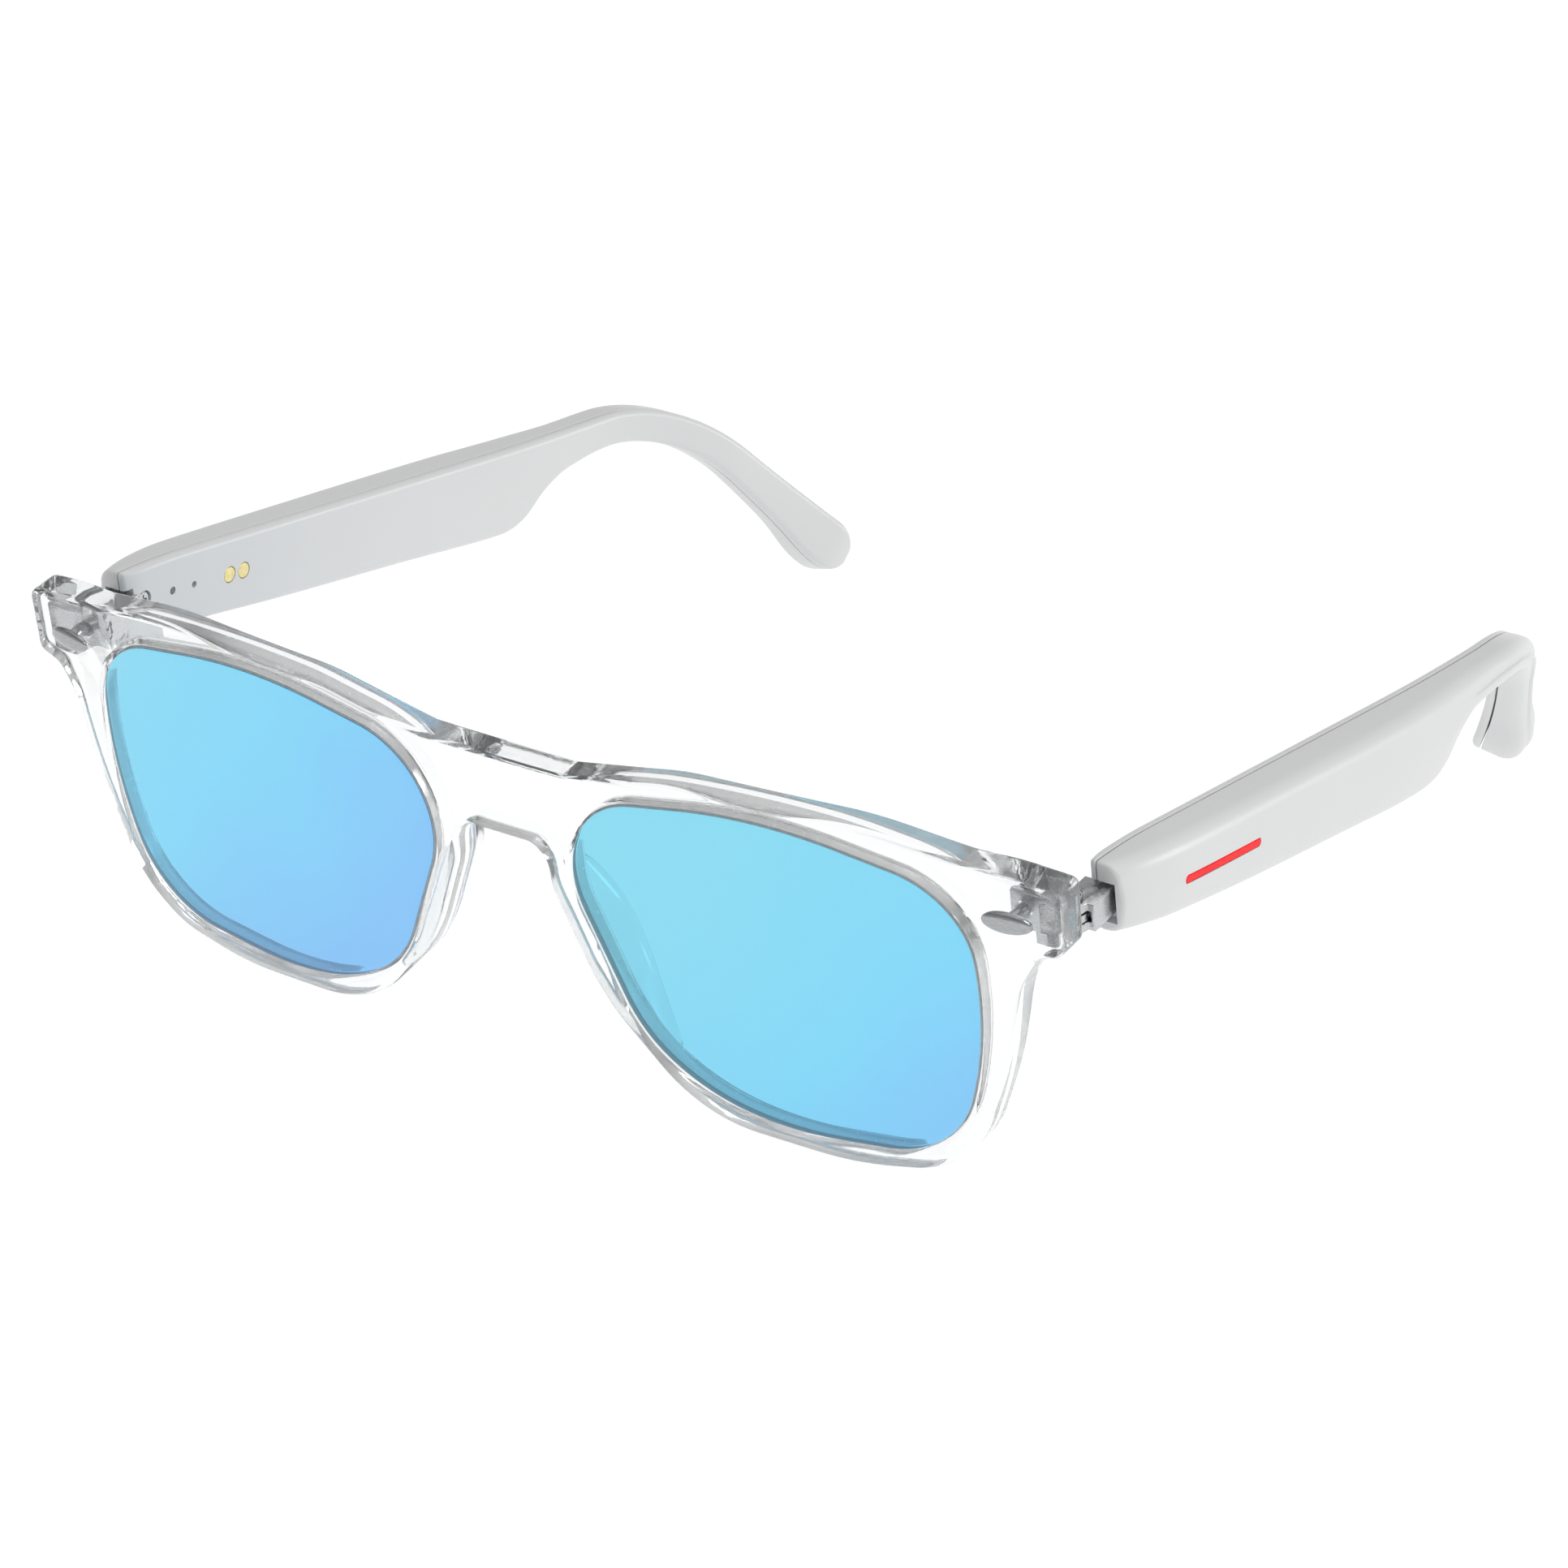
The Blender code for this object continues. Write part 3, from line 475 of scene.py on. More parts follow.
def nose_edge(z, half):
    """How far from the middle the rim's nose side lies at a height."""
    for (low_x, low_z), (high_x, high_z) in zip(half, half[1:]):
        if low_z <= z < high_z:
            return low_x + (high_x - low_x) * (z - low_z) / (high_z - low_z)
    raise ValueError("no nose side at this height")


def nose_pad(name, side):
    """A smooth wedge on the back of the rim, beside the nose."""
    half = half_outline()
    rings = []
    for z, reach, spread, thick in PAD_STATIONS:
        edge = nose_edge(z, half) + PAD_INSET
        root = FRONT_THICK + PAD_GAP
        section = []
        for by_spread, by_thick, more_x, by_reach, more_y in PAD_SECTION:
            x = edge + spread * by_spread + thick * by_thick + more_x
            section.append((x, root + reach * by_reach + more_y + front_depth(x), z))
        rings.append(section)
    made = solid(name, loft(rings), side)
    applied(made, "SUBSURF", levels=PAD_SMOOTHING, render_levels=PAD_SMOOTHING)
    return made


def rivet(name, side):
    """Oval head with a full dome and a thin flat rim, on a round shank."""
    x, z = RIVET_AT
    half_width, half_height, rise = RIVET_HEAD
    face = front_depth(x)
    slope = 2 * FRONT_BEND * x

    def ring(wide, high, y):
        return [(x + a * wide, y + a * wide * slope, z + b * high) for a, b in circle(1.0, RIVET_SIDES)]

    rings = []
    for index in range(DOME_STEPS + 1):
        angle = math.radians(DOME_FROM + DOME_SWEEP * index / DOME_STEPS)
        share = math.sin(angle)
        rings.append(ring(half_width * share, half_height * share, face - rise * math.cos(angle)))
    rings += [
        ring(half_width, half_height, face), ring(half_width, half_height, face + RIVET_SINK),
        ring(RIVET_SHANK, RIVET_SHANK, face + RIVET_SINK), ring(RIVET_SHANK, RIVET_SHANK, RIVET_END),
    ]
    return solid(name, loft(rings), side)


def softened(name, node, width):
    """A CAD node's shape with its edges broken, for small machined and moulded pieces."""
    made = bpy.data.objects.new(name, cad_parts[node].data.copy())
    made.data.materials.clear()
    bpy.context.scene.collection.objects.link(made)
    shape = bmesh.new()
    shape.from_mesh(made.data)
    bmesh.ops.remove_doubles(shape, verts=shape.verts, dist=SAME_PLACE)
    bmesh.ops.dissolve_limit(shape, angle_limit=FLAT_ANGLE, verts=shape.verts, edges=shape.edges)
    shape.to_mesh(made.data)
    shape.free()
    applied(made, "BEVEL", width=width * MM, segments=2, limit_method="ANGLE",
            angle_limit=BEVEL_ANGLE, use_clamp_overlap=True)
    return made


# ---------------------------------------------------------------- temples

def top_line(distance):
    """Place and slope of the inner face's top edge at a distance from the temple's front end."""
    y, z = TOP_START
    slope = TOP_SLOPE
    left = distance
    for length, turn in TOP_RUNS:
        run = min(left, length)
        sweep = math.radians(turn) * run / length
        middle = slope + sweep / 2
        chord = run if abs(sweep) < STRAIGHT else run * math.sin(sweep / 2) / (sweep / 2)
        y += chord * math.cos(middle)
        z += chord * math.sin(middle)
        slope += sweep
        left -= run
        if left <= 0:
            break
    return y, z, slope


def inner_face(y):
    """Sideways place of a temple's inner face, which leans in and bends at the hook."""
    hook = max(0.0, y - HOOK_BEND_FROM)
    return INNER_FACE_X - INNER_TAPER * (y - TOP_START[0]) - HOOK_BEND * hook * hook


def cover_face(distance):
    """How far the cover's face lies outward of the inner face near the temple's front end."""
    nose, length = NOSE_TAPER
    taper = max(0.0, 1 - distance / length)
    return nose * taper * taper


def temple_frame(distance):
    """Top edge point, outward direction and downward direction at a distance along the temple."""
    y, z, slope = top_line(distance)
    point = Vector((inner_face(y), y, z))
    if distance < UPRIGHT_END:
        slope *= distance / UPRIGHT_END
        forward = Vector((0, math.cos(slope), math.sin(slope)))
    else:
        ahead_y = y + math.cos(slope)
        forward = Vector((inner_face(ahead_y), ahead_y, z + math.sin(slope))) - point
    forward.normalize()
    outward = (Vector((1, 0, 0)) - forward * forward.x).normalized()
    return point, outward, forward.cross(outward)


def on_temple(distance, outward, down):
    """A point at a distance along the temple, outward of its inner face and below its top."""
    point, side, below = temple_frame(distance)
    return point + side * outward + below * down


def end_scale(distance):
    """How much the cross-section shrinks towards the round tip."""
    left = TEMPLE_LENGTH - distance
    if left < TIP_ROUND:
        share = 1 - left / TIP_ROUND
        return math.sqrt(max(0.0, 1 - TIP_DROP * share * share))
    return 1.0


def end_inset(distance):
    """How far the cross-section draws in at the softly rounded front end."""
    share = max(0.0, 1 - distance / FRONT_END_ROUND)
    return FRONT_END_ROUND * (1 - math.sqrt(1 - share * share))


def stations():
    """Distances of the cross-sections, closer together at both ends."""
    quarter_turn = math.pi / 2
    turns = [quarter_turn * i / FRONT_END_STEPS for i in range(FRONT_END_STEPS)]
    start = [FRONT_END_ROUND * (1 - math.cos(turn)) for turn in turns]
    span = TEMPLE_LENGTH - TIP_ROUND - FRONT_END_ROUND
    count = round(span / STATION_STEP)
    body = [FRONT_END_ROUND + span * i / count for i in range(count + 1)]
    shares = [i / TIP_STEPS for i in range(1, TIP_STEPS + 1)]
    tip = [TEMPLE_LENGTH - TIP_ROUND * (1 - math.sin(quarter_turn * share)) for share in shares]
    return start + body + tip


def quarter(outward, down, radius, start):
    """Points of a quarter circle, turning from outward to down from a start angle in degrees."""
    points = []
    for index in range(ROUND_STEPS + 1):
        angle = math.radians(start + 90 * index / ROUND_STEPS)
        points.append((outward + radius * math.cos(angle), down + radius * math.sin(angle)))
    return points


def place_ring(distance, profile, split, depth):
    """Put a cross-section on the temple, drawn in towards the parting plane at the rounded ends."""
    share = end_scale(distance)
    inset = end_inset(distance)
    ring = []
    for outward, down in profile:
        reach = outward - split
        wide = split + math.copysign(max(0.0, abs(reach) * share - inset * min(1.0, abs(reach))), reach)
        half = depth / 2
        deep = half + (down - half) * share * (1 - inset / half)
        ring.append(on_temple(distance, wide, deep))
    return ring


def shell_ring(distance):
    """Cross-section of the outer half: rounded corners and a slightly crowned outer face."""
    width = along(TEMPLE_WIDTH, distance)
    depth = along(TEMPLE_DEPTH, distance)
    split = COVER_THICK + SEAM
    corner = min(OUTER_ROUND, CORNER_TO_WIDTH * (width - split), CORNER_TO_DEPTH * depth)
    flat = width - OUTER_CROWN
    edge = split + SEAM_ROUND
    profile = quarter(edge, SEAM_ROUND, SEAM_ROUND, 180) + quarter(flat - corner, corner, corner, 270)
    for index in range(1, ROUND_STEPS):
        share = index / ROUND_STEPS
        crown = OUTER_CROWN * math.sin(math.pi * share)
        profile.append((flat + crown, corner + (depth - 2 * corner) * share))
    profile += quarter(flat - corner, depth - corner, corner, 0)
    profile += quarter(edge, depth - SEAM_ROUND, SEAM_ROUND, 90)
    return place_ring(distance, profile, split, depth)


def cover_ring(distance):
    """Cross-section of the inner half: a thin cover with rounded corners."""
    depth = along(TEMPLE_DEPTH, distance)
    face = cover_face(distance)
    corner = min(INNER_ROUND, CORNER_TO_COVER * (COVER_THICK - face))
    edge = COVER_THICK - SEAM_ROUND
    rounds = (
        (edge, SEAM_ROUND, SEAM_ROUND, 270), (face + corner, corner, corner, 180),
        (face + corner, depth - corner, corner, 90), (edge, depth - SEAM_ROUND, SEAM_ROUND, 0),
    )
    profile = []
    for row in rounds:
        profile += quarter(*row)[::-1]
    return place_ring(distance, profile, COVER_THICK, depth)


def block_ring(distance, wide, deep):
    """A rectangular cross-section between two outward and two downward limits."""
    corners = ((wide[0], deep[0]), (wide[1], deep[0]), (wide[1], deep[1]), (wide[0], deep[1]))
    return [on_temple(distance, outward, down) for outward, down in corners]


def block(span, wide, deep, steps=6):
    """A box that follows the temple over a span of distances."""
    start, end = span
    rings = []
    for index in range(steps + 1):
        distance = start + (end - start) * index / steps
        rings.append(block_ring(distance, wide, deep))
    return loft(rings)


def cavity():
    """The room inside the shell for the board, the battery and the speaker."""
    rings = []
    for distance in CAVITY:
        width = along(TEMPLE_WIDTH, distance) - OUTER_CROWN - WALL
        deep = along(TEMPLE_DEPTH, distance) - WALL
        rings.append(block_ring(distance, (COVER_THICK, width), (WALL, deep)))
    return loft(rings)


def across(distance, down, rows, count=TURNED_SIDES):
    """A turned piece that points out of the temple's inner face: rows of (radius, outward)."""
    point, side, below = temple_frame(distance)
    forward = below.cross(side) * -1
    rings = []
    for radius, outward in rows:
        centre = point + side * outward + below * down
        rings.append([centre + forward * a + below * b for a, b in circle(radius, count)])
    return loft(rings)


def drill(distance, down, radius):
    """A cutter for a round hole through the cover."""
    return across(distance, down, [(radius, outward) for outward in DRILL_SPAN])


def crowned(radius, face, crown):
    """Rows for the rounded edge of a turned piece whose top lies at a height."""
    return [(radius * share, face + height) for share, height in crown]


def slot_outline(start, end, down, half):
    """A strip with round ends, as (distance, down) points."""

    def round_end(middle, turn):
        angles = [math.radians(turn + 180 * i / SLOT_STEPS) for i in range(SLOT_STEPS + 1)]
        return [(middle + half * math.cos(angle), down - half * math.sin(angle)) for angle in angles]

    first = start + half
    last = end - half
    count = round((end - start) / STATION_STEP)
    bottom = [(first + (last - first) * i / count, down + half) for i in range(1, count)]
    top = [(distance, down - half) for distance, _ in reversed(bottom)]
    return round_end(first, 90) + bottom + round_end(last, -90) + top


def face_out(distance, down):
    """How far out the shell's outer face lies at a place on it."""
    width = along(TEMPLE_WIDTH, distance)
    depth = along(TEMPLE_DEPTH, distance)
    corner = min(OUTER_ROUND, CORNER_TO_DEPTH * depth)
    share = (down - corner) / (depth - 2 * corner)
    return width - OUTER_CROWN + OUTER_CROWN * math.sin(math.pi * share)


def strip_solid(grown, low, high, crown=0.0):
    """The touch strip, or the groove it lies in, between two heights over the shell's face."""
    start, end, down, half = STRIP
    rows = [(grown, low), (grown, high - crown)]
    if crown:
        rows.append((grown - crown, high))
    rings = []
    for extra, height in rows:
        outline = slot_outline(start - extra, end + extra, down, half + extra)
        rings.append([on_temple(d, face_out(d, b) + height, b) for d, b in outline])
    return loft(rings)


def touch_strip(name, side):
    """The red inlay, a little proud of the shell, with its upper edge rounded."""
    return solid(name, strip_solid(0.0, -STRIP_DEEP, STRIP_PROUD, STRIP_CROWN), side)


def temple_shell(name, side):
    """The hollow outer half, with the hinge recess, the strip's groove and the speaker's slot."""
    made = solid(name, loft([shell_ring(distance) for distance in stations()]), side)
    start, end, inner, outer = GRILLE
    deep = (along(TEMPLE_DEPTH, start) - WALL - GRILLE_IN, along(TEMPLE_DEPTH, end) + GRILLE_OUT)
    groove = strip_solid(GROOVE_GAP, -STRIP_DEEP - GROOVE_DEEPER, GROOVE_TOP)
    slot = block((start - GAP, end + GAP), (inner - GAP, outer + GAP), deep)
    carve(made, side, cavity(), box(*LEAF_POCKET), box(*END_RECESS), block(*MIC_POCKET), groove, slot)
    return made


def temple_cover(name, side):
    """The inner half, with its screw hole, the contacts' holes and the two small holes."""
    made = solid(name, loft([cover_ring(distance) for distance in stations()]), side)
    distance, down, radius = COVER_SCREW
    shank = COVER_SCREW_SHANK + GAP
    clearance, floor_at = COVER_SCREW_SINK
    start, end = DRILL_SPAN
    head = radius + clearance
    sink = across(distance, down, ((head, start), (head, floor_at), (shank, floor_at), (shank, end)))
    holes = [drill(reach, CONTACT_DEPTH, CONTACT_RADIUS + CONTACT_GAP) for _, reach in CONTACTS]
    led = drill(LED_AT[0], LED_AT[1], LED_AT[2] + LED_GAP)
    carve(made, side, sink, box(*END_RECESS), led, drill(*MIC_AT), *holes)
    return made


def cover_screw(name, side):
    """A small screw with a crown on its head and a cross slot."""
    distance, down, radius = COVER_SCREW
    face = cover_face(distance) + COVER_SCREW_BELOW
    shank = COVER_SCREW_SHANK
    rows = crowned(radius, face, SCREW_CROWN)
    rows += [(radius, COVER_SCREW_HEAD), (shank, COVER_SCREW_HEAD), (shank, COVER_SCREW_END)]
    made = solid(name, across(distance, down, rows), side)
    arm, half, slot_deep = COVER_SCREW_SLOT
    for along_half, down_half in ((half, arm), (arm, half)):
        span = (distance - along_half, distance + along_half)
        carve(made, side, block(span, (-1, face + slot_deep), (down - down_half, down + down_half), 1))
    return made


def contact(name, side, distance):
    """A round charging contact with a pin behind it."""
    pin, end = CONTACT_PIN
    rows = crowned(CONTACT_RADIUS, 0.0, CONTACT_CROWN)
    rows += [(CONTACT_RADIUS, COVER_THICK), (pin, COVER_THICK), (pin, end)]
    return solid(name, across(distance, CONTACT_DEPTH, rows), side)


def light_pipe(name, side):
    """The small window of the status light."""
    distance, down, radius = LED_AT
    rows = crowned(radius, 0.0, LED_CROWN) + [(radius, COVER_THICK)]
    return solid(name, across(distance, down, rows, LED_SIDES), side)


# ---------------------------------------------------------------- materials

def set_stops(colour_ramp, stops):
    """Give a colour ramp its stops (place, colour) in rising order; a plain number is a grey."""
    steps = colour_ramp.elements
    while len(steps) < len(stops):
        steps.new(0.5)
    for step, (place, colour) in zip(steps, stops):
        step.position = place
        grey = (colour,) * 3 if isinstance(colour, (int, float)) else colour
        step.color = (*grey, 1.0)


NOISE_LOW = 0.3                # the middle range of a noise, where nearly all of its values lie
NOISE_HIGH = 0.7


class Look:
    """A Principled material and short ways to wire its procedural detail."""

    def __init__(self, name, colour, roughness, metallic=0.0, **more):
        self.material = bpy.data.materials.new(name)
        self.material.use_nodes = True
        self.tree = self.material.node_tree
        self.shader = self.tree.nodes["Principled BSDF"]
        self.coords = self.tree.nodes.new("ShaderNodeTexCoord").outputs["Object"]
        values = {"Base Color": (*colour, 1.0), "Roughness": roughness, "Metallic": metallic, **more}
        for socket, value in values.items():
            self.shader.inputs[socket].default_value = value

    def node(self, kind, inputs=None, **settings):
        made = self.tree.nodes.new("ShaderNode" + kind)
        for name, value in settings.items():
            setattr(made, name, value)
        for socket, value in (inputs or {}).items():
            if isinstance(value, bpy.types.NodeSocket):
                self.tree.links.new(value, made.inputs[socket])
            else:
                made.inputs[socket].default_value = value
        return made

    def stretched(self, scale):
        mapping = self.node("Mapping", {"Vector": self.coords, "Scale": scale})
        return mapping.outputs["Vector"]

    def noise(self, per_mm, detail=3.0, coords=None):
        inputs = {"Vector": coords or self.coords, "Scale": per_mm / MM, "Detail": detail}
        return self.node("TexNoise", inputs).outputs["Fac"]

    def scaled(self, value, factor, start):
        made = self.node("Math", {0: value, 1: factor, 2: start}, operation="MULTIPLY_ADD")
        return made.outputs[0]

    def ramp(self, factor, *stops):
        made = self.node("ValToRGB", {"Fac": factor})
        set_stops(made.color_ramp, stops)
        return made.outputs["Color"]

    def drive(self, socket, value):
        self.tree.links.new(value, self.shader.inputs[socket])

    def vary(self, socket, factor, low, high):
        """Let a socket drift between two values with a noise."""
        self.drive(socket, self.ramp(factor, (NOISE_LOW, low), (NOISE_HIGH, high)))

    def bump(self, height, depth_mm):
        inputs = {"Height": height, "Distance": depth_mm * MM, "Strength": 1.0}
        self.drive("Normal", self.node("Bump", inputs).outputs["Normal"])


def shade(colour, factor):
    """A colour made lighter or darker."""
    return tuple(min(1.0, channel * factor) for channel in colour)


def clear_plastic(name, roughness, waviness):
    """Polished clear plastic with a faint waviness from the mould."""
    look = Look(name, CLEAR_COLOUR, roughness, **{"Transmission Weight": 0.95, "IOR": ACRYLIC_IOR})
    look.drive("Roughness", look.ramp(look.noise(0.5), (0.35, roughness), (0.7, roughness * 2)))
    look.bump(look.noise(0.35, 2.0), waviness)
    return look.material


def rough_wall_with_painted_shade():
    """The walls of the lens openings: clear plastic left faintly rough by the cutter, with a grey that is
    painted shade to darken the band round each lens.
    """
    look = Look("lens_opening_look", WALL_SHADE_GREY, 0.2, **{"Transmission Weight": 0.4, "IOR": ACRYLIC_IOR})
    look.vary("Roughness", look.noise(0.9), 0.12, 0.3)
    look.bump(look.noise(2.5), 0.01)
    return look.material


def lens_tint_and_reflection(side_name, side):
    """Blue tinted lens with a painted reflection: its colour runs from cyan on the right side and at the
    top to periwinkle on the left, a gradient fixed to the lens that stands in for the sky mirrored in its
    coating.
    """
    look = Look(side_name + "_lens_look", LENS_SKY, 0.02, **LENS_GLOSS)
    place = look.node("SeparateXYZ", {0: look.coords})
    x_share = look.scaled(place.outputs["X"], 1 / REFLECTION_SPAN_X, -side * LENS_MIDDLE / REFLECTION_SPAN_X)
    z_share = look.scaled(place.outputs["Z"], -1 / REFLECTION_SPAN_Z, REFLECTION_START[side])
    total = look.node("Math", {0: x_share, 1: z_share}, operation="ADD")
    drift = look.scaled(look.noise(0.05, 1.0), *REFLECTION_DRIFT)
    mixed = look.node("Math", {0: total.outputs[0], 1: drift}, operation="ADD", use_clamp=True)
    # painted reflection: the shift from cyan through sky blue to periwinkle across the lens stands in for
    # the sky mirrored in the coating; the blue itself is the lens's own colour
    tint_and_reflection = look.ramp(mixed.outputs[0], (0.0, LENS_CYAN), (0.5, LENS_SKY), (1.0, LENS_PERIWINKLE))
    look.drive("Base Color", tint_and_reflection)
    look.drive("Roughness", look.ramp(look.noise(0.8), (0.3, 0.01), (0.8, 0.03)))
    return look.material


def ground_plastic():
    """The ground edge of a lens: matte and slightly blue."""
    look = Look("lens_edge_look", LENS_EDGE, 0.6)
    look.vary("Base Color", look.noise(1.5), LENS_EDGE_DARK, LENS_EDGE_LIGHT)
    look.bump(look.noise(6.0), 0.02)
    return look.material


def satin_plastic(name, colour):
    """Softly shining moulded plastic with a fine grain."""
    look = Look(name, colour, 0.36, **SATIN_GLOSS)
    look.vary("Base Color", look.noise(0.04, 2.0), shade(colour, 0.985), shade(colour, 1.015))
    look.vary("Roughness", look.noise(2.2, 4.0), 0.31, 0.41)
    look.bump(look.noise(3.5, 3.0), 0.006)
    return look.material


def metal(name, colour, roughness, brushed=(1.0, 1.0, 6.0)):
    """Metal with streaks that are drawn out across the larger scale."""
    look = Look(name, colour, roughness, 1.0)
    streaks = look.noise(1.6, 4.0, look.stretched(brushed))
    look.vary("Base Color", streaks, shade(colour, 0.85), shade(colour, 1.1))
    look.vary("Roughness", streaks, roughness * 0.75, roughness * 1.35)
    look.bump(streaks, 0.01)
    return look.material


def circuit_board():
    """Green board with pale tracks."""
    look = Look("circuit_board_look", BOARD_GREEN, 0.4, **{"Coat Weight": 0.4})
    tracks = look.node("TexBrick", {"Vector": look.coords, "Scale": 0.5 / MM, "Mortar Size": 0.06,
                                    "Color1": (*BOARD_GREEN, 1.0), "Color2": (*BOARD_LIGHT, 1.0),
                                    "Mortar": (*BOARD_TRACK, 1.0)})
    look.drive("Base Color", tracks.outputs["Color"])
    look.bump(tracks.outputs["Fac"], 0.03)
    return look.material


def crinkled_foil():
    """The battery's foil pouch."""
    look = Look("battery_foil_look", FOIL_GREY, 0.3, 0.9)
    folds = look.noise(0.7, 6.0)
    look.vary("Roughness", folds, 0.2, 0.45)
    look.vary("Base Color", folds, FOIL_DARK, FOIL_LIGHT)
    look.bump(folds, 0.15)
    return look.material


def woven_mesh(name, colour):
    """Dark metal with a fine cell pattern."""
    look = Look(name, colour, 0.4, 0.8)
    cells = look.node("TexVoronoi", {"Vector": look.coords, "Scale": 3.0 / MM}).outputs["Distance"]
    look.drive("Base Color", look.ramp(cells, (0.2, shade(colour, 0.3)), (0.6, shade(colour, 1.4))))
    look.bump(cells, 0.08)
    return look.material


def red_inlay():
    """Even red plastic for the touch strip."""
    look = Look("red_strip_look", STRIP_RED, 0.5, **{"Specular IOR Level": 0.12})
    drift = look.noise(0.6, 3.0)
    look.vary("Base Color", drift, shade(STRIP_RED, 0.92), shade(STRIP_RED, 1.05))
    look.vary("Roughness", look.noise(3.0), 0.25, 0.38)
    look.bump(look.noise(4.0), 0.004)
    return look.material


def smoked_pipe():
    """The dark window of the status light."""
    look = Look("light_pipe_look", PIPE_GREY, 0.2, **{"Coat Weight": 0.5})
    look.vary("Roughness", look.noise(2.0), 0.15, 0.3)
    look.vary("Base Color", look.noise(1.0), 0.09, 0.14)
    return look.material


CLEAR_COLOUR = (0.97, 0.985, 0.99)
ACRYLIC_IOR = 1.49
# grey of the lens openings' walls: painted shade that darkens the band round each lens
WALL_SHADE_GREY = (0.68, 0.69, 0.69)
# Lens colours: the blue is the lens's own colour, and the run from cyan to periwinkle is a painted
# reflection
LENS_CYAN = (0.25, 0.74, 0.92)
LENS_SKY = (0.22, 0.71, 0.98)
LENS_PERIWINKLE = (0.235, 0.58, 0.98)
LENS_GLOSS = {
    "Transmission Weight": 0.85, "IOR": 1.5, "Specular IOR Level": 0.35, "Coat Weight": 0.2,
    "Coat Roughness": 0.02,
}
LENS_MIDDLE = 0.0355           # sideways place of a lens's centre
REFLECTION_SPAN_X = 0.060            # the painted reflection runs through its colours over these lengths
REFLECTION_SPAN_Z = 0.070
REFLECTION_START = {1: 0.6, -1: 1.0}
REFLECTION_DRIFT = (0.35, -0.17)
LENS_EDGE = (0.42, 0.47, 0.5)
LENS_EDGE_DARK = (0.37, 0.42, 0.45)
LENS_EDGE_LIGHT = (0.47, 0.52, 0.55)
STRIP_RED = (0.93, 0.018, 0.022)
SATIN_GREY = (0.66, 0.665, 0.665)
SATIN_GLOSS = {"Specular IOR Level": 0.45, "Coat Weight": 0.15, "Coat Roughness": 0.2}
BOARD_GREEN = (0.02, 0.16, 0.08)
BOARD_LIGHT = (0.03, 0.2, 0.1)
BOARD_TRACK = (0.25, 0.3, 0.12)
FOIL_GREY = (0.62, 0.63, 0.66)
FOIL_DARK = (0.5, 0.51, 0.54)
FOIL_LIGHT = (0.7, 0.71, 0.74)
PIPE_GREY = (0.1, 0.1, 0.105)
EVEN = (1.0, 1.0, 1.0)         # no streaks

CLEAR = clear_plastic("clear_frame_look", 0.004, 0.02)
PAD = clear_plastic("clear_pad_look", 0.05, 0.04)
GROUND = ground_plastic()
CLEAR_WALL = rough_wall_with_painted_shade()
PLASTIC = satin_plastic("temple_plastic_look", SATIN_GREY)
STEEL = metal("steel_look", (0.55, 0.56, 0.57), 0.24)
GOLD = metal("gold_plating_look", (0.80, 0.70, 0.36), 0.42, EVEN)
# the rivet's steel is darker than the other steel: painted shade standing in for the dark reflections on
# its dome
POLISHED_WITH_PAINTED_SHADE = metal("rivet_look", (0.40, 0.41, 0.42), 0.1)
COPPER = metal("copper_film_look", (0.75, 0.42, 0.24), 0.35)
TIN = metal("tinned_can_look", (0.68, 0.68, 0.66), 0.32, EVEN)
DARK_METAL = woven_mesh("dark_metal_look", (0.16, 0.165, 0.17))
BOARD = circuit_board()
FOIL = crinkled_foil()
RED = red_inlay()
PIPE = smoked_pipe()


# ---------------------------------------------------------------- assembly

# Refined pieces that ride the front and each temple: node, builder, slot, looks, angle below which
# neighbouring faces shade smoothly
FRONT_PIECES = (
    ("nose_pad", "pad_form", nose_pad, "clear_pad", PAD, 60),
    ("rivet", "rivet_dome", rivet, "steel", POLISHED_WITH_PAINTED_SHADE, 40),
)
TEMPLE_PIECES = (
    ("temple_shell", "shell_form", temple_shell, "temple_plastic", PLASTIC, 35),
    ("temple_cover", "cover_form", temple_cover, "temple_plastic", PLASTIC, 35),
    ("cover_screw", "screw_form", cover_screw, "steel", STEEL, SMOOTH_BELOW),
    ("status_led", "led_form", light_pipe, "light_pipe", PIPE, SMOOTH_BELOW),
    ("touch_strip", "strip_form", touch_strip, "red_strip", RED, SMOOTH_BELOW),
)
HINGE_EDGES = {"front_hinge": 0.12, "hinge_pin": 0.06, "temple_hinge": 0.12}
INNER_LOOKS = {
    "microphone": TIN, "circuit_board": BOARD, "battery": FOIL, "speaker": DARK_METAL, "magnet": STEEL,
    "touch_sensor": COPPER, "speaker_mesh": DARK_METAL,
}

finish(clear_front(), "front", "front_frame", [CLEAR, CLEAR_WALL], 40, weighted=True)
for side_name, direction in SIDES:
    temple = side_name + "_temple"
    glass = lens_glass(side_name + "_lens_glass", direction)
    mark_edge(glass)
    finish(glass, "front", side_name + "_lens", [lens_tint_and_reflection(side_name, direction), GROUND], 50)
    for body, pieces in (("front", FRONT_PIECES), (temple, TEMPLE_PIECES)):
        for node, form, build, slot_name, look, angle in pieces:
            made = build(f"{side_name}_{form}", direction)
            finish(made, body, f"{side_name}_{node}", [look], angle)
    for place, reach in CONTACTS:
        made = contact(f"{side_name}_contact_{place}", direction, reach)
        finish(made, temple, f"{side_name}_charge_contact_{place}", [GOLD])
    for node, edge in HINGE_EDGES.items():
        node_name = f"{side_name}_{node}"
        body = temple if node == "temple_hinge" else "front"
        finish(softened(node_name + "_form", node_name, edge), body, node_name, [STEEL])

for node, look in INNER_LOOKS.items():
    for side_name, _ in SIDES:
        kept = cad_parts[f"{side_name}_{node}"]
        kept.data.materials.clear()
        kept.data.materials.append(look)


# ---------------------------------------------------------------- stage, light and camera

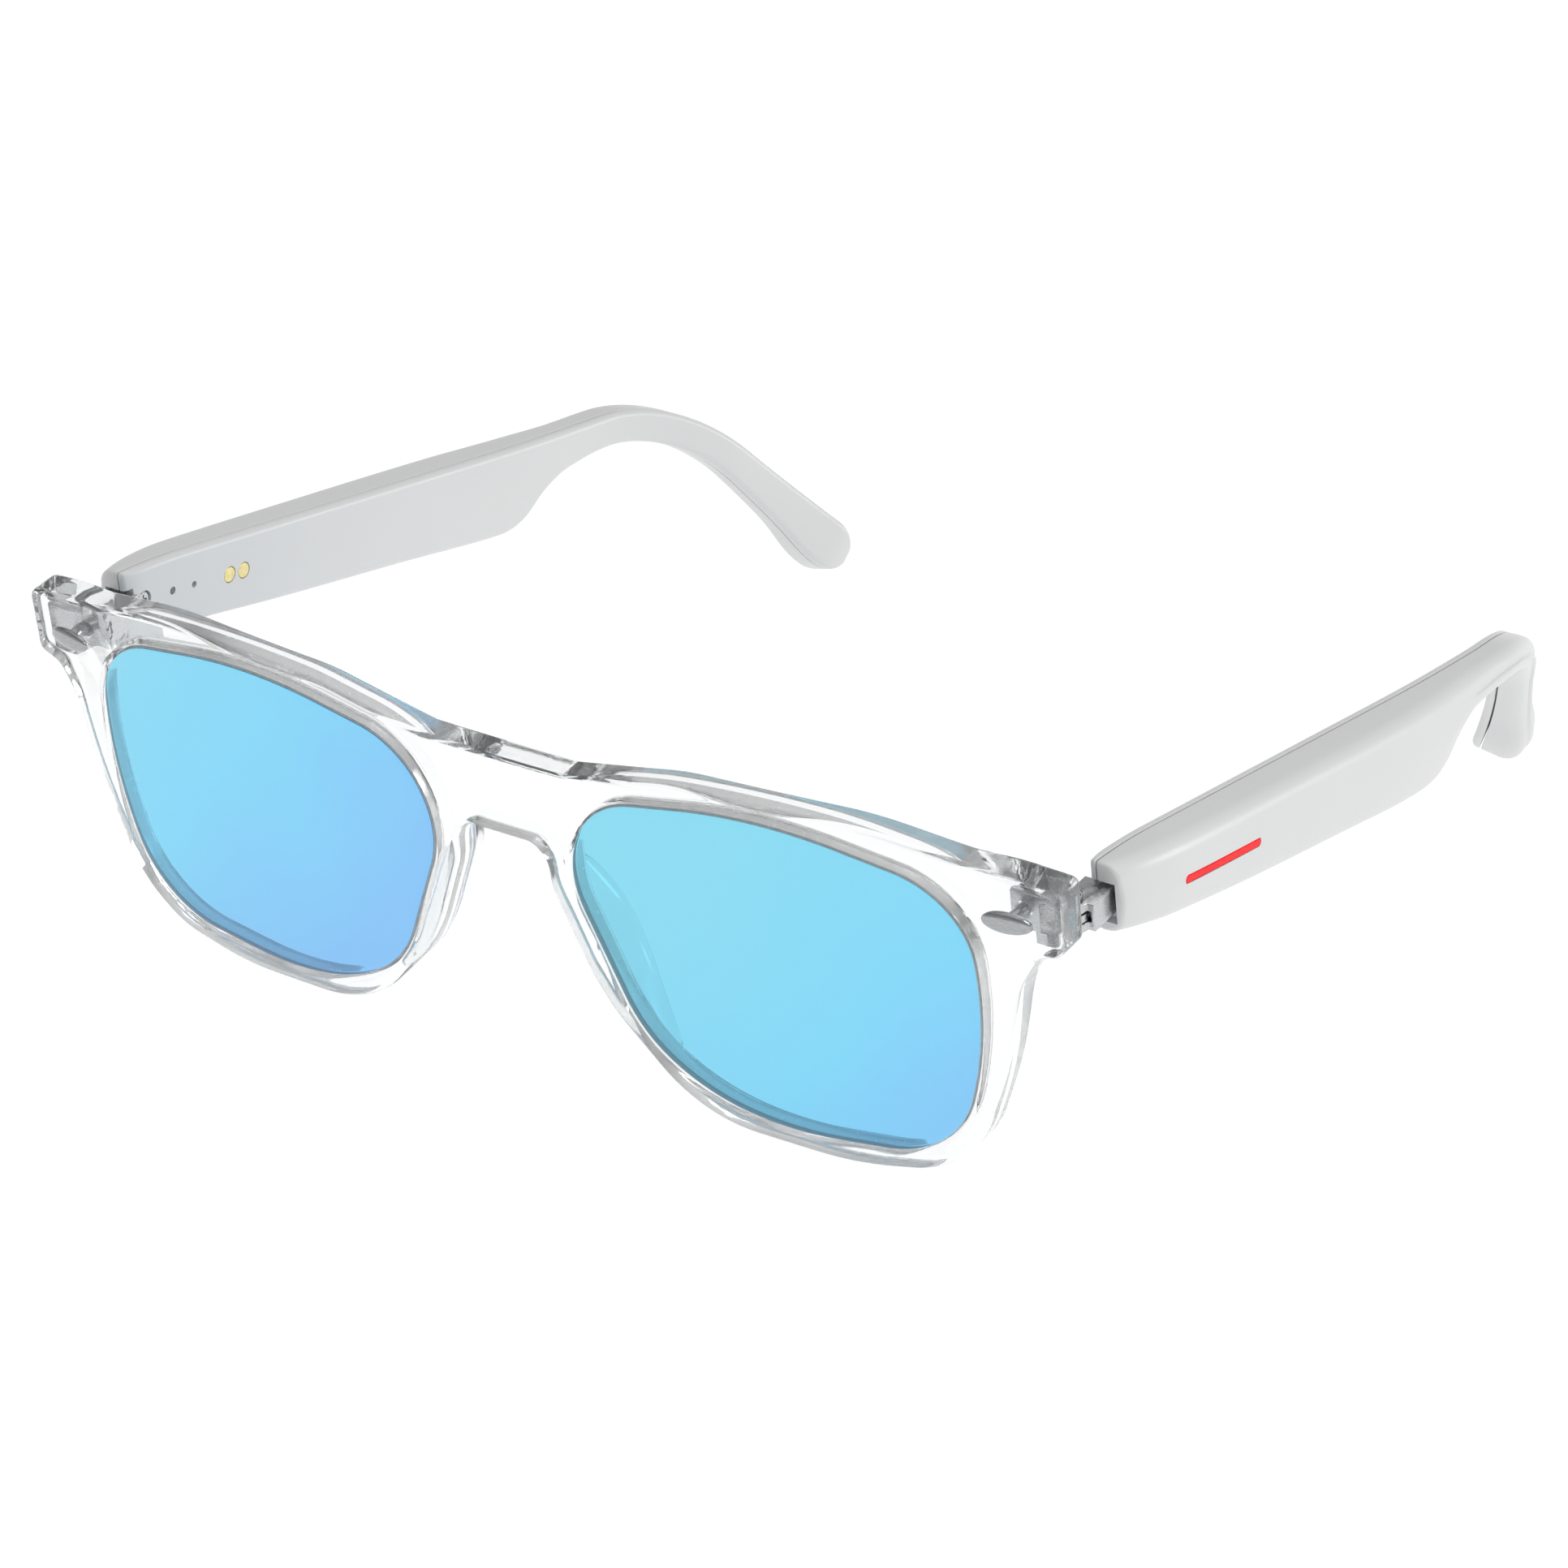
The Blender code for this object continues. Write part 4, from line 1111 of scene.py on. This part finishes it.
def floor():
    """A plain pale floor that glows a little, so that it stays even."""
    shape = bmesh.new()
    bmesh.ops.create_grid(shape, x_segments=FLOOR_CELLS, y_segments=FLOOR_CELLS, size=FLOOR_HALF)
    mesh = bpy.data.meshes.new("floor")
    shape.to_mesh(mesh)
    shape.free()
    made = bpy.data.objects.new("floor", mesh)
    made.location.z = -FLOOR_BELOW
    bpy.context.scene.collection.objects.link(made)
    glow = {"Emission Strength": FLOOR_GLOW, "Emission Color": (1.0, 1.0, 1.0, 1.0)}
    look = Look("floor_look", FLOOR_GREY, 0.9, **glow)
    look.vary("Roughness", look.noise(0.01), 0.85, 0.95)
    mesh.materials.append(look.material)


def softbox(name, place, size, power):
    """A round soft light aimed at the glasses."""
    light = bpy.data.lights.new(name, "AREA")
    light.shape = "DISK"
    light.size = size
    light.energy = power
    made = bpy.data.objects.new(name, light)
    made.location = place
    made.rotation_euler = (-Vector(place)).to_track_quat("-Z", "Y").to_euler()
    bpy.context.scene.collection.objects.link(made)


def surroundings():
    """White studio walls with a darker band half way up."""
    world = bpy.data.worlds.new("studio")
    world.use_nodes = True
    bpy.context.scene.world = world
    nodes = world.node_tree.nodes
    links = world.node_tree.links
    coords = nodes.new("ShaderNodeTexCoord")
    split = nodes.new("ShaderNodeSeparateXYZ")
    links.new(coords.outputs["Generated"], split.inputs[0])
    ramp = nodes.new("ShaderNodeValToRGB")
    links.new(split.outputs["Z"], ramp.inputs["Fac"])
    set_stops(ramp.color_ramp, WORLD_STOPS)
    links.new(ramp.outputs["Color"], nodes["Background"].inputs["Color"])
    nodes["Background"].inputs["Strength"].default_value = WORLD_STRENGTH


FLOOR_CELLS = 8
FLOOR_HALF = 6.0
FLOOR_BELOW = 0.0002
FLOOR_GREY = (0.16, 0.16, 0.16)
FLOOR_GLOW = 0.93
WORLD_STRENGTH = 0.75
WORLD_STOPS = ((0.0, 0.95), (0.5, 0.4), (1.0, 1.0))
SOFTBOXES = (                  # name, place, width, power
    ("key", (0.85, -0.2, 0.95), 0.9, 4.6),
    ("top", (0.0, 0.1, 1.3), 1.0, 2.0),
    ("rim", (1.0, 1.1, 0.32), 0.5, 3.5),
)

floor()
surroundings()
for light_setting in SOFTBOXES:
    softbox(*light_setting)
bpy.context.scene.view_settings.view_transform = "Standard"

camera_data = bpy.data.cameras.new("camera")
camera_data.lens = CAMERA_LENS
camera_data.sensor_width = CAMERA_SENSOR
camera_data.clip_start = CAMERA_NEAR
camera = bpy.data.objects.new("camera", camera_data)
camera.location = CAMERA_AT
camera.rotation_euler = [math.radians(turn) for turn in CAMERA_TURN]
bpy.context.scene.collection.objects.link(camera)
bpy.context.scene.camera = camera
